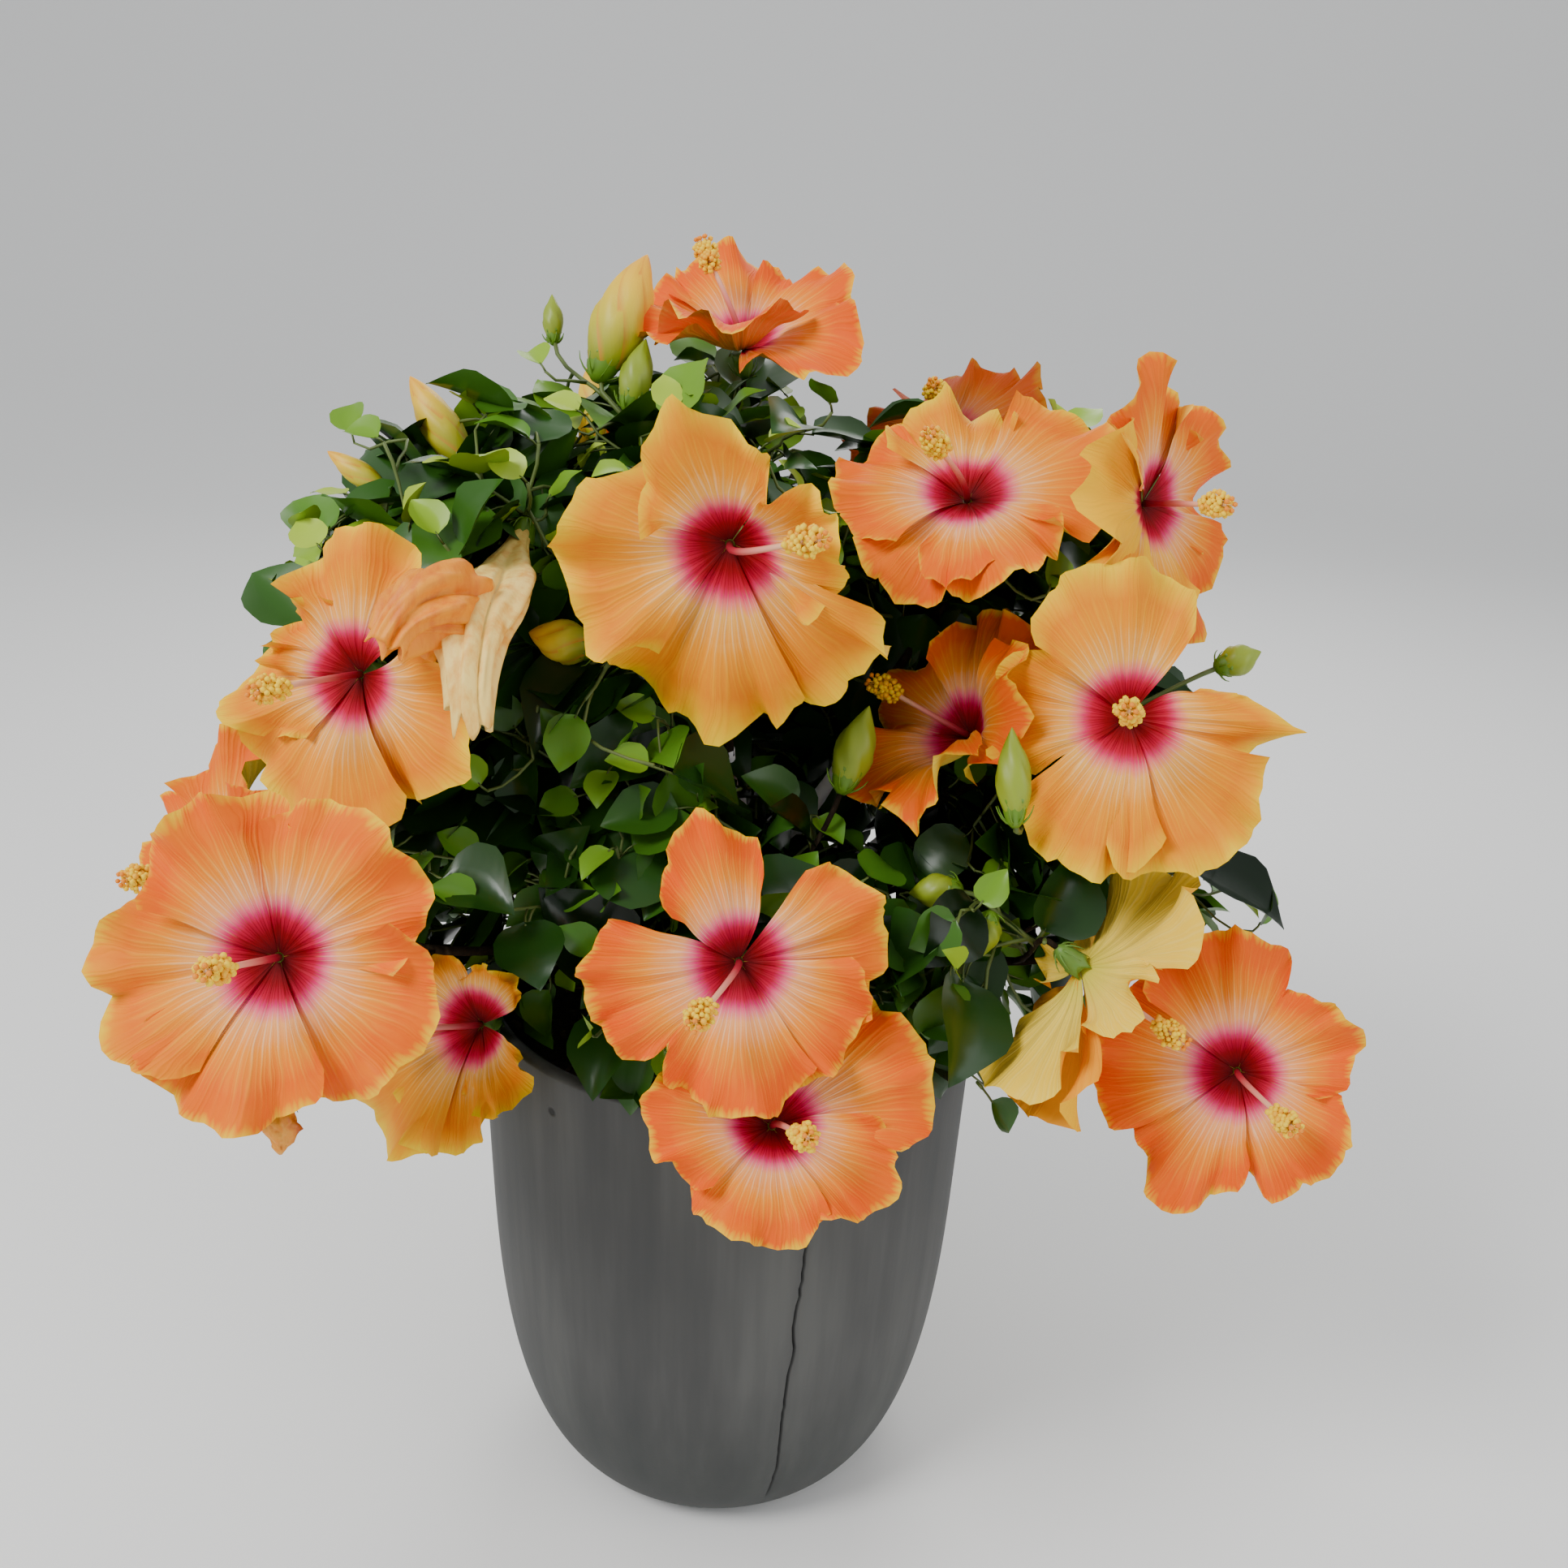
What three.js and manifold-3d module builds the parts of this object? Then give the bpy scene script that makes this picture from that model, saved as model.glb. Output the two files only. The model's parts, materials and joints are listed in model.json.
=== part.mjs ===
// A hibiscus shrub in full bloom in its round patio pot.
// Millimetres, +Z up. The origin is the middle of the pot's flat underside and the best side faces -Y.
import * as THREE from 'three';
import { mergeVertices } from 'three/addons/utils/BufferGeometryUtils.js';
import Module from 'manifold-3d';

const wasm = await Module();
wasm.setup();

// Pot: nearly straight sides that round in to a small flat base
const POT_HEIGHT = 402;
const RIM_RADIUS = 180;
const BASE_RADIUS = 86;
const SIDE_TAPER = 0.031;
const ROUND_SHARE = 0.62;
const ROUND_POWER = 2.59;
const WALL = 11;
const LIP_ROUND = 4;
const FLOOR = 16;
const POT_SEGMENTS = 26;
const OUTER_SHARES = [0, 0.03, 0.1, 0.22, 0.4, 0.7, 1];
const INNER_SHARES = [0, 0.1, 0.35, 1];
const SOIL_DROP = 34;
const SOIL_MOUND = 7;
const GAP = 0.3;

// Crack in the pot's front, from the rim down: its turns from straight ahead in degrees, and its heights as
// shares of the pot's
const CRACK_TURNS = [21.6, 20.4, 21.2, 20.6, 20.1, 18.8, 19.5, 18.4, 18.1, 18.6, 17.6];
const CRACK_HEIGHTS = [1.02, 0.91, 0.84, 0.77, 0.655, 0.555, 0.505, 0.44, 0.33, 0.2, 0.09];
const CRACK_WIDTH = 2.8;
const CRACK_DEPTH = 3;

// Trunk, from its flat cut on the soil to the fork
const SOIL_TOP = POT_HEIGHT - SOIL_DROP;
const TRUNK_TOP = 486;
const TRUNK_FOOT_RADIUS = 13;
const TRUNK_TOP_RADIUS = 8.5;
const FLARE = 9;
const FLARE_FALL = 0.13;
const TRUNK_LEAN = new THREE.Vector3(12, -10, 0);
const TRUNK_SIDES = 10;
const TRUNK_STEPS = 6;

// Limbs and twigs
const BOUGH_RADIUS = 6;
const BOUGH_TIP_RADIUS = 4.2;
const BOUGH_SHARE = 0.57;
const BOUGH_SIDES = 6;
const BOUGH_STEPS = 3;
const LEAST_RISE = 0.15;
const BOUGH_LIFT = 0.25;
const STEM_LIFT = 0.3;
const STEM_TIP_RADIUS = 2.6;
const STEM_SIDES = 5;
const STEM_STEPS = 2;
const TWIG_RADIUS = 2.2;
const TWIG_TIP_RADIUS = 1.4;
const FLOWER_TWIG_TIP_RADIUS = 1.8;
const TWIG_SIDES = 3;
const TWIG_STEP = 60;
const MOST_TWIG_STEPS = 3;
const THINNER = 0.85;
const ROOT_SHARE = 0.42;
const SWING = 0.35;
const CLEAR = 0.7;

// Where twigs branch: places on a limb this far apart, the cost of a path that turns away from the limb and of
// one that is too short, and how many of the best places are tried
const NODE_SPACING = 14;
const TURN_COST = 0.6;
const SHORTEST_TWIG = 22;
const SHORT_COST = 200;
const TRIES = 9;

// Ends of the leafy shoots: how far apart, how many places are thrown, how far out in the mass and the crown
const SHOOT_SPACING = 74;
const THROWS = 260;
const SHOOT_NEAR = 0.42;
const SHOOT_FAR = 0.76;
const CROWN = { middle: [10, 0, 590], reach: [360, 320, 270], heart: [0, 0, 560] };
const BARE_HEART = 0.45;

// Leaves
const LEAF_LENGTH = 84;
const LEAF_WIDTH = 0.74;
const LEAF_THICKNESS = 2.4;
const LEAF_SPACING = 14;
const LEAFY_SHARE = 0.8;
const LEAF_FOOT = 8;
const LEAF_SINK = 2;
const YOUNG_LEAF = 0.62;
const LEAF_SIZES = [0.8, 1.15];
const WIDEST = 0.46;
const TIP_DROP = 0.16;
const GOLDEN_TURN = 2.39996;
const FORWARD = 0.35;
const OUTWARD = 0.45;
const TO_LIGHT = 0.9;
const LIGHT_OUT = 0.7;

// Blooms
const PETALS = 5;
const PETAL_THICKNESS = 2;
const NOTCH = 0.2;
const FOLD_RING = 0.55;
const CUP = 0.5;
const RECURVE = 0.3;
const OVERLAP_LIFT = 0.07;
const EYE_SHARE = 0.12;
const COLUMN_LENGTH = 0.46;
const COLUMN_RADII = [2.6, 2.1, 7, 2];
const COLUMN_SWING = 0.3;
const CALYX_LENGTH = 24;
const CALYX_RADIUS = 9;
const CALYX_SINK = 5;
const BIG_BUD = 60;
const BUD_SINK = 2;
const BUD_TWIG_IN = 3;

const COLOURS = { pot: 0x4b4d4e, soil: 0x33261c, bark: 0x5a4a39, foliage: 0x2f6a2c };

const UP = new THREE.Vector3(0, 0, 1);
const at = (x, y, z) => new THREE.Vector3(x, y, z);

// A direction from its turn about Z, 0 straight at the viewer's side, and its height, both in degrees.
function facing([turn, height]) {
  const t = THREE.MathUtils.degToRad(turn);
  const h = THREE.MathUtils.degToRad(height);
  return at(Math.sin(t) * Math.cos(h), -Math.cos(t) * Math.cos(h), Math.sin(h));
}

// Foliage masses: the middle of each one's space, its half sizes and the height of its bough on the trunk
const MASSES = [
  { name: 'foliage_low_left', middle: [-205, -120, 480], reach: [165, 165, 120], rise: 404, seed: 11 },
  { name: 'foliage_upper_left', middle: [-175, -25, 690], reach: [130, 150, 140], rise: 452, seed: 12 },
  { name: 'foliage_top', middle: [-35, 95, 760], reach: [150, 140, 125], rise: 478, seed: 13 },
  { name: 'foliage_upper_front', middle: [-15, -75, 690], reach: [120, 125, 120], rise: 468, seed: 14 },
  { name: 'foliage_upper_right', middle: [165, 70, 715], reach: [150, 165, 110], rise: 460, seed: 15 },
  { name: 'foliage_right', middle: [190, -35, 600], reach: [145, 125, 95], rise: 440, seed: 16 },
  { name: 'foliage_low_front', middle: [5, -130, 490], reach: [130, 125, 120], rise: 416, seed: 17 },
  { name: 'foliage_low_right', middle: [225, -70, 465], reach: [165, 140, 115], rise: 410, seed: 18 },
  { name: 'foliage_back_left', middle: [-180, 165, 590], reach: [165, 160, 150], rise: 430, seed: 19 },
  { name: 'foliage_back_right', middle: [190, 190, 560], reach: [165, 160, 140], rise: 424, seed: 20 },
  { name: 'foliage_back', middle: [5, 225, 520], reach: [135, 135, 150], rise: 446, seed: 31 },
];

// Blooms seen from the front: the eye's place, the way the bloom faces, the way its column points, how far
// the first petal is turned, the span, and any petal that is folded forward by so many degrees
const BLOOMS = [
  { mass: 'foliage_low_left', eye: [-233, -268, 548], face: [1, 25], column: [-7, 23], turn: 48, span: 185 },
  { mass: 'foliage_low_left', eye: [-322, -92, 512], face: [-48, 25], column: [-40, 14], turn: 107, span: 165 },
  { mass: 'foliage_low_left', eye: [-160, -110, 416], face: [-22, 22], column: [-1, 43], turn: 81, span: 170,
    folds: [0, 0, 0, 0, 35] },
  { mass: 'foliage_upper_left', eye: [-216, -141, 667], face: [-23, 12], column: [-28, 8], turn: 87, span: 180 },
  { mass: 'foliage_top', eye: [-10, 120, 838], face: [-16, 69], column: [-92, 67], turn: 117, span: 170 },
  { mass: 'foliage_upper_front', eye: [-3, -147, 756], face: [-7, -13], column: [37, 13], turn: 114, span: 188 },
  { mass: 'foliage_upper_right', eye: [141, -19, 759], face: [-12, 45], column: [-31, 39], turn: 92, span: 175 },
  { mass: 'foliage_upper_right', eye: [144, 178, 762], face: [-60, 62], column: [-20, 44], turn: 129, span: 160 },
  { mass: 'foliage_upper_right', eye: [262, -24, 768], face: [52, 10], column: [29, 11], turn: 83, span: 172,
    folds: [0, 45, 30, 0, 0] },
  { mass: 'foliage_right', eye: [240, -107, 650], face: [-7, 19], column: [-13, 21], turn: 100, span: 185 },
  { mass: 'foliage_right', eye: [154, -44, 610], face: [-60, 31], column: [-101, 25], turn: 99, span: 160,
    folds: [0, 0, 20, 30, 20] },
  { mass: 'foliage_low_front', eye: [11, -189, 515], face: [7, 20], column: [-15, 2], turn: 112, span: 180 },
  { mass: 'foliage_low_front', eye: [35, -216, 419], face: [9, 47], column: [18, 29], turn: 34, span: 170 },
  { mass: 'foliage_low_right', eye: [337, -127, 417], face: [-22, 22], column: [9, 7], turn: 109, span: 178 },
  { mass: 'foliage_low_right', eye: [241, -119, 482], face: [49, -12], column: [30, -7], turn: 55, span: 170,
    folds: [25, 20, 0, 0, 0] },
];

// Blooms on the far side, two to a mass, dealt out round the crown's back
const BACK_BLOOM_SPAN = 172;
const BACK_BLOOMS = [
  { mass: 'foliage_back_left', turns: [207, 243], heights: [690, 520] },
  { mass: 'foliage_back_right', turns: [152, 118], heights: [640, 545] },
  { mass: 'foliage_back', turns: [181, 172], heights: [600, 440] },
];
const BACK_REACH = 300;
for (const { mass, turns, heights } of BACK_BLOOMS) {
  turns.forEach((turn, i) => {
    const out = facing([turn, 0]).multiplyScalar(BACK_REACH - 60 * ((heights[i] - 500) / 200) ** 2);
    BLOOMS.push({
      mass,
      eye: [out.x, out.y, heights[i]],
      face: [turn + 12 - 24 * i, 24 + 14 * i],
      column: [turn - 14 + 20 * i, 12 + 20 * i],
      turn: 40 + 25 * i,
      span: BACK_BLOOM_SPAN - 6 * i,
    });
  });
}

// Buds: the root's place, the way each points, its length and its width as a share of that
const BUDS = [
  { mass: 'foliage_top', root: [-106, 81, 813], way: [137, 61], length: 92, width: 0.44 },
  { mass: 'foliage_top', root: [-84, 66, 796], way: [150, 65], length: 50, width: 0.46 },
  { mass: 'foliage_top', root: [-142, 118, 832], way: [-168, 68], length: 34, width: 0.44 },
  { mass: 'foliage_upper_left', root: [-181, 5, 760], way: [-119, 50], length: 74, width: 0.36 },
  { mass: 'foliage_upper_left', root: [-232, -2, 744], way: [-103, 30], length: 50, width: 0.34 },
  { mass: 'foliage_upper_left', root: [-132, -66, 742], way: [-48, -59], length: 108, width: 0.34 },
  { mass: 'foliage_upper_front', root: [-86, -104, 677], way: [-95, 11], length: 42, width: 0.66 },
  { mass: 'foliage_low_front', root: [70, -92, 589], way: [144, 63], length: 57, width: 0.47 },
  { mass: 'foliage_right', root: [173, -140, 592], way: [-168, 68], length: 59, width: 0.38 },
  { mass: 'foliage_right', root: [307, -52, 668], way: [99, 21], length: 30, width: 0.7 },
  { mass: 'foliage_low_right', root: [146, -108, 530], way: [-87, -7], length: 33, width: 0.7 },
  { mass: 'foliage_low_right', root: [169, -108, 512], way: [-19, -67], length: 28, width: 0.66 },
  { mass: 'foliage_low_left', root: [-249, -243, 436], way: [7, -68], length: 30, width: 0.7 },
  { mass: 'foliage_back_left', root: [-120, 200, 745], way: [200, 60], length: 70, width: 0.42 },
  { mass: 'foliage_back_right', root: [230, 170, 700], way: [120, 55], length: 60, width: 0.42 },
  { mass: 'foliage_back', root: [40, 250, 680], way: [170, 60], length: 52, width: 0.46 },
];

// A closed geometry as a solid that can be joined and cut.
function solidOf(geometry) {
  const plain = geometry.clone();
  plain.deleteAttribute('normal');
  plain.deleteAttribute('uv');
  const merged = mergeVertices(plain, 1e-4);
  const mesh = new wasm.Mesh({
    numProp: 3,
    vertProperties: new Float32Array(merged.attributes.position.array),
    triVerts: new Uint32Array(merged.index.array),
  });
  return new wasm.Manifold(mesh);
}

// The largest piece of a solid, without loose scraps, as a geometry.
function geometryOf(solid) {
  const pieces = solid.decompose().sort((a, b) => b.volume() - a.volume());
  const { vertProperties, triVerts } = pieces[0].getMesh();
  const geometry = new THREE.BufferGeometry();
  geometry.setAttribute('position', new THREE.BufferAttribute(new Float32Array(vertProperties), 3));
  geometry.setIndex(new THREE.BufferAttribute(new Uint32Array(triVerts), 1));
  return geometry;
}

// Each vertex of a geometry moved to where place(vertex) says.
function shaped(geometry, place) {
  const points = geometry.attributes.position;
  const v = at(0, 0, 0);
  for (let i = 0; i < points.count; i += 1) {
    v.fromBufferAttribute(points, i);
    const p = place(v);
    points.setXYZ(i, p.x, p.y, p.z);
  }
  return geometry;
}

// A tapering limb round a curve: a cylinder whose rings follow it.
function limb(curve, radiusAt, sides, steps) {
  const { tangents, normals, binormals } = curve.computeFrenetFrames(steps, false);
  const centres = tangents.map((_, i) => curve.getPoint(i / steps));
  return shaped(new THREE.CylinderGeometry(1, 1, 1, sides, steps), (v) => {
    const i = Math.round((v.y + 0.5) * steps);
    const r = radiusAt(i / steps);
    return centres[i].clone().addScaledVector(normals[i], v.x * r).addScaledVector(binormals[i], -v.z * r);
  });
}

// The point at t of a limb's middle line, which runs in straight steps along its curve.
function onLimb(curve, steps, t) {
  const step = Math.min(Math.floor(t * steps), steps - 1);
  return curve.getPoint(step / steps).lerp(curve.getPoint((step + 1) / steps), t * steps - step);
}

const tapered = (from, to) => (t) => THREE.MathUtils.lerp(from, to, t);

// A curve that leaves one point one way and reaches another in a second way.
function bend(start, leaving, end, arriving, swing = SWING) {
  const span = start.distanceTo(end) * swing;
  return new THREE.CubicBezierCurve3(
    start,
    start.clone().addScaledVector(leaving, span),
    end.clone().addScaledVector(arriving, -span),
    end,
  );
}

// Pot

function potRadius(z) {
  const side = RIM_RADIUS - SIDE_TAPER * (POT_HEIGHT - z);
  const low = THREE.MathUtils.clamp(1 - z / (ROUND_SHARE * POT_HEIGHT), 0, 1);
  const drawnIn = RIM_RADIUS - SIDE_TAPER * POT_HEIGHT - BASE_RADIUS;
  return side - drawnIn * (1 - (1 - low ** ROUND_POWER) ** (1 / ROUND_POWER));
}

function potGeometry() {
  const profile = [new THREE.Vector2(0, 0)];
  for (const share of OUTER_SHARES) {
    const z = share * (POT_HEIGHT - LIP_ROUND);
    profile.push(new THREE.Vector2(potRadius(z), z));
  }
  profile.push(new THREE.Vector2(RIM_RADIUS - LIP_ROUND, POT_HEIGHT));
  profile.push(new THREE.Vector2(RIM_RADIUS - WALL + LIP_ROUND, POT_HEIGHT));
  for (const share of [...INNER_SHARES].reverse()) {
    profile.push(innerPoint(share));
  }
  profile.push(new THREE.Vector2(0, FLOOR));
  return new THREE.LatheGeometry(profile, POT_SEGMENTS);
}

// A point of the pot's inner wall, from its floor at 0 to just under the lip at 1.
function innerPoint(share) {
  const z = FLOOR + share * (POT_HEIGHT - LIP_ROUND - FLOOR);
  return new THREE.Vector2(potRadius(z) - WALL, z);
}

function crackSolid() {
  const links = [];
  const onWall = CRACK_TURNS.map((turn, i) => {
    const z = CRACK_HEIGHTS[i] * POT_HEIGHT;
    return facing([turn, 0]).multiplyScalar(potRadius(Math.min(z, POT_HEIGHT))).setZ(z);
  });
  for (let i = 1; i < onWall.length; i += 1) {
    const along = onWall[i].clone().sub(onWall[i - 1]);
    const out = at(onWall[i].x, onWall[i].y, 0).normalize();
    const across = out.clone().cross(along).normalize();
    const deep = along.clone().cross(across).normalize();
    const link = new THREE.BoxGeometry(CRACK_WIDTH, along.length() + CRACK_WIDTH / 2, 2 * CRACK_DEPTH);
    link.applyMatrix4(new THREE.Matrix4().makeBasis(across, along.clone().normalize(), deep.negate()));
    link.translate(...onWall[i].clone().add(onWall[i - 1]).multiplyScalar(0.5).toArray());
    links.push(solidOf(link));
  }
  return wasm.Manifold.union(links);
}

// Z up for a shape that was turned on the lathe round Y.
const stood = (geometry) => geometry.rotateX(Math.PI / 2);

function soilGeometry() {
  const profile = [new THREE.Vector2(0, FLOOR + GAP)];
  const level = (SOIL_TOP - FLOOR) / (POT_HEIGHT - LIP_ROUND - FLOOR);
  const [, , wall, lip] = INNER_SHARES;
  for (const share of INNER_SHARES.slice(0, 3)) {
    const p = innerPoint(share);
    profile.push(new THREE.Vector2(p.x - 2 * GAP, Math.max(p.y, FLOOR + GAP)));
  }
  const edge = innerPoint(wall).lerp(innerPoint(lip), (level - wall) / (lip - wall));
  profile.push(new THREE.Vector2(edge.x - 2 * GAP, edge.y - SOIL_MOUND));
  profile.push(new THREE.Vector2(edge.x * 0.6, edge.y - SOIL_MOUND / 4));
  profile.push(new THREE.Vector2(edge.x * 0.2, edge.y));
  profile.push(new THREE.Vector2(0, edge.y));
  return new THREE.LatheGeometry(profile, POT_SEGMENTS);
}

// Trunk and boughs

const trunkFoot = at(0, 0, SOIL_TOP + GAP);
const trunkTop = at(0, 0, TRUNK_TOP).add(TRUNK_LEAN);
const trunkCurve = new THREE.QuadraticBezierCurve3(
  trunkFoot,
  at(0, 0, (SOIL_TOP + TRUNK_TOP) / 2),
  trunkTop,
);

function trunkRadius(t) {
  return THREE.MathUtils.lerp(TRUNK_FOOT_RADIUS, TRUNK_TOP_RADIUS, t) + FLARE * Math.exp(-t / FLARE_FALL);
}

function boughCurve(mass) {
  const start = trunkCurve.getPoint((mass.rise - SOIL_TOP) / (TRUNK_TOP - SOIL_TOP));
  const middle = at(...mass.middle);
  const end = start.clone().lerp(middle, BOUGH_SHARE);
  const out = middle.clone().sub(start).normalize();
  const leaving = at(out.x, out.y, Math.max(out.z, LEAST_RISE)).normalize();
  return bend(start, leaving, end, out.clone().addScaledVector(UP, BOUGH_LIFT).normalize());
}

// Seeded numbers from 0 to 1, the same on every run.
function dice(seed) {
  let state = seed * 7919;
  const next = () => {
    state = (Math.imul(1664525, state) + 1013904223) >>> 0;
    return state / 4294967296;
  };
  for (let i = 0; i < 5; i += 1) {
    next();
  }
  return next;
}

// Blooms, buds and leaves

// The level and the rising direction on a disc that faces the given way.
function discAxes(face) {
  const upright = Math.abs(face.z) > 0.985 ? at(0, 1, 0) : UP;
  const rise = upright.clone().addScaledVector(face, -upright.dot(face)).normalize();
  return { level: rise.clone().cross(face).normalize(), rise };
}

// The five petals as one lobed funnel: a thin turned disc, each vertex of which goes to its petal's place.
function corollaGeometry(bloom) {
  const face = facing(bloom.face);
  const eye = at(...bloom.eye);
  const { level, rise } = discAxes(face);
  const radius = bloom.span / 2;
  const profile = [[0, -1], [EYE_SHARE, -1], [1, -1], [1, 1], [FOLD_RING, 1], [EYE_SHARE, 1], [0, 1]].map(
    ([s, face]) => new THREE.Vector2(s, (face * PETAL_THICKNESS) / 2),
  );
  const share = (2 * Math.PI) / PETALS;
  const folds = bloom.folds ?? Array(PETALS).fill(0);
  return shaped(new THREE.LatheGeometry(profile, 3 * PETALS), (v) => {
    const s = Math.hypot(v.x, v.z);
    const step = Math.round((Math.atan2(v.x, v.z) / share) * 3 + 3 * PETALS) % (3 * PETALS);
    const petal = Math.floor(step / 3);
    const across = s < 2 * EYE_SHARE ? 0.5 : (step % 3) - 1;
    const notch = across < 0;
    const before = folds[(petal + PETALS - 1) % PETALS];
    const fold = THREE.MathUtils.degToRad(notch ? (folds[petal] + before) / 2 : folds[petal]);
    const angle = THREE.MathUtils.degToRad(bloom.turn) + (petal + (across - 0.5) / 3) * share;
    const twist = notch ? 0 : OVERLAP_LIFT * (2 * across - 1);
    const reach = radius * s * (notch ? 1 - NOTCH * s * s : 1);
    const height = radius * (CUP * s - RECURVE * s * s + twist * s) + v.y;
    const flatOut = level.clone().multiplyScalar(Math.cos(angle)).addScaledVector(rise, Math.sin(angle));
    const out = flatOut.clone().multiplyScalar(Math.cos(fold)).addScaledVector(face, Math.sin(fold));
    const lift = face.clone().multiplyScalar(Math.cos(fold)).addScaledVector(flatOut, -Math.sin(fold));
    return eye.clone().addScaledVector(out, reach).addScaledVector(lift, height);
  });
}

// The column, which swells to its anthers before the tip.
function columnGeometry(bloom) {
  const eye = at(...bloom.eye).addScaledVector(facing(bloom.face), PETAL_THICKNESS / 2);
  const way = facing(bloom.column);
  const tip = eye.clone().addScaledVector(way, bloom.span * COLUMN_LENGTH);
  const steps = COLUMN_RADII.length - 1;
  const curve = bend(eye, facing(bloom.face), tip, way, COLUMN_SWING);
  return limb(curve, (t) => COLUMN_RADII[Math.round(t * steps)], 3, steps);
}

// A green cup behind the petals, pointed at both ends.
function calyxGeometry(point, way, length, radius) {
  const cup = new THREE.OctahedronGeometry(1, 0).scale(radius, length / 2, radius);
  cup.applyQuaternion(new THREE.Quaternion().setFromUnitVectors(at(0, 1, 0), way));
  const middle = point.clone().addScaledVector(way, -length / 2);
  return cup.translate(middle.x, middle.y, middle.z);
}

function bloomSolid(bloom) {
  const calyx = calyxGeometry(at(...bloom.eye), facing(bloom.face), CALYX_LENGTH, CALYX_RADIUS);
  return wasm.Manifold.union([corollaGeometry(bloom), columnGeometry(bloom), calyx].map(solidOf));
}

function budSolid(bud) {
  const way = facing(bud.way);
  const isBig = bud.length > BIG_BUD;
  const ball = isBig ? new THREE.SphereGeometry(0.5, 5, 4) : new THREE.OctahedronGeometry(0.5, 0);
  const body = ball.scale(bud.length * bud.width, bud.length, bud.length * bud.width);
  body.applyQuaternion(new THREE.Quaternion().setFromUnitVectors(at(0, 1, 0), way));
  const middle = at(...bud.root).addScaledVector(way, bud.length / 2 - BUD_SINK);
  return solidOf(body.translate(middle.x, middle.y, middle.z));
}

// A leaf with a keel under its midrib: a ball of one ring, whose poles are the root and the tip.
function leafSolid(leaf, grown = 0) {
  const side = leaf.up.clone().cross(leaf.along);
  const length = leaf.length + grown;
  const half = (leaf.width + grown) / Math.sqrt(3);
  const thick = (LEAF_THICKNESS + 2 * grown) / 1.5;
  return solidOf(shaped(new THREE.SphereGeometry(1, 3, 2), (v) => {
    const isTip = v.y > 0.5;
    const isRoot = v.y < -0.5;
    const reach = isTip ? length : WIDEST * length;
    return leaf.root.clone()
      .addScaledVector(leaf.along, isRoot ? -grown : reach)
      .addScaledVector(side, isTip || isRoot ? 0 : v.z * half)
      .addScaledVector(leaf.up, isTip ? -TIP_DROP * length : v.x * thick * (isRoot ? 0 : 1));
  }));
}

// What is already there, in pieces with their boxes, so that a new twig or leaf can be tried against them

function boxesMeet(a, b) {
  return [0, 1, 2].every((k) => a.min[k] < b.max[k] && b.min[k] < a.max[k]);
}

function touches(solid, others) {
  const box = solid.boundingBox();
  return others.some((other) => boxesMeet(box, other.box) && solid.intersect(other.solid).volume() > 0);
}

const listed = (solid) => ({ solid, box: solid.boundingBox() });

// A mass's space is its ellipsoid, as far as its own middle is the nearest one.
function depthIn(mass, point) {
  return Math.hypot(...mass.middle.map((c, k) => (point.getComponent(k) - c) / mass.reach[k]));
}

function inSpace(mass, point) {
  const own = depthIn(mass, point);
  return own < 1 && MASSES.every((other) => other === mass || depthIn(other, point) > own);
}

// Growth of one mass: a stem that takes over from the bough's tip, twigs that reach its blooms and buds from
// the best place on what has grown so far, then leafy shoots out to the edge of its space

// The places on a limb from which others may branch, one from each.
function newNodes(curve, steps, from, to) {
  const count = Math.max(2, Math.round(curve.getLength() / NODE_SPACING));
  return Array.from({ length: count }, (_, i) => {
    const t = (i + 0.5) / count;
    const point = onLimb(curve, steps, t);
    return { point, way: curve.getTangent(t), radius: THREE.MathUtils.lerp(from, to, t) };
  });
}

function sortedParents(nodes, end) {
  const cost = (node) => {
    const path = end.clone().sub(node.point);
    const away = path.length();
    const turned = 1 - path.dot(node.way) / away;
    return away * (1 + TURN_COST * turned) + (away < SHORTEST_TWIG ? SHORT_COST : 0);
  };
  return [...nodes].sort((a, b) => cost(a) - cost(b));
}

// A twig from the best free place to the given end. One that would touch anything foreign isn't grown.
function twigTo(grove, end, arriving, tipRadius, avoid, isFlower) {
  for (const parent of sortedParents(grove.nodes, end).slice(0, TRIES)) {
    const path = end.clone().sub(parent.point).normalize();
    const leaving = parent.way.clone().multiplyScalar(0.5).add(path).normalize();
    const curve = bend(parent.point, leaving, end, arriving);
    const radius = Math.min(parent.radius * THINNER, TWIG_RADIUS);
    const taper = tapered(radius, tipRadius);
    const steps = Math.max(1, Math.min(MOST_TWIG_STEPS, Math.round(curve.getLength() / TWIG_STEP)));
    const solid = solidOf(limb(curve, (t) => (t ? taper(t) : ROOT_SHARE * parent.radius), TWIG_SIDES, steps));
    const tried = solidOf(limb(curve, tapered(radius + CLEAR, tipRadius + CLEAR), TWIG_SIDES, steps));
    if (!touches(tried, avoid)) {
      grove.nodes.splice(grove.nodes.indexOf(parent), 1);
      grove.nodes.push(...newNodes(curve, steps, radius, tipRadius).slice(0, isFlower ? -1 : undefined));
      grove.twigs.push({ curve, steps, solid });
      return;
    }
  }
}

// The stem on which a mass grows, from just off its bough's tip to the middle of its space.
function stemOf(mass, bough) {
  const way = bough.getTangent(1);
  const start = bough.getPoint(1).addScaledVector(way, GAP);
  const middle = at(...mass.middle);
  const out = middle.clone().sub(start).normalize().addScaledVector(UP, STEM_LIFT).normalize();
  return bend(start, way, middle, out);
}

// The way out of the crown, seen from between its heart and the mass's own middle.
function outward(mass, point) {
  const inner = at(...mass.middle).lerp(at(...CROWN.heart), 0.6);
  return point.clone().sub(inner).normalize();
}

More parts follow.
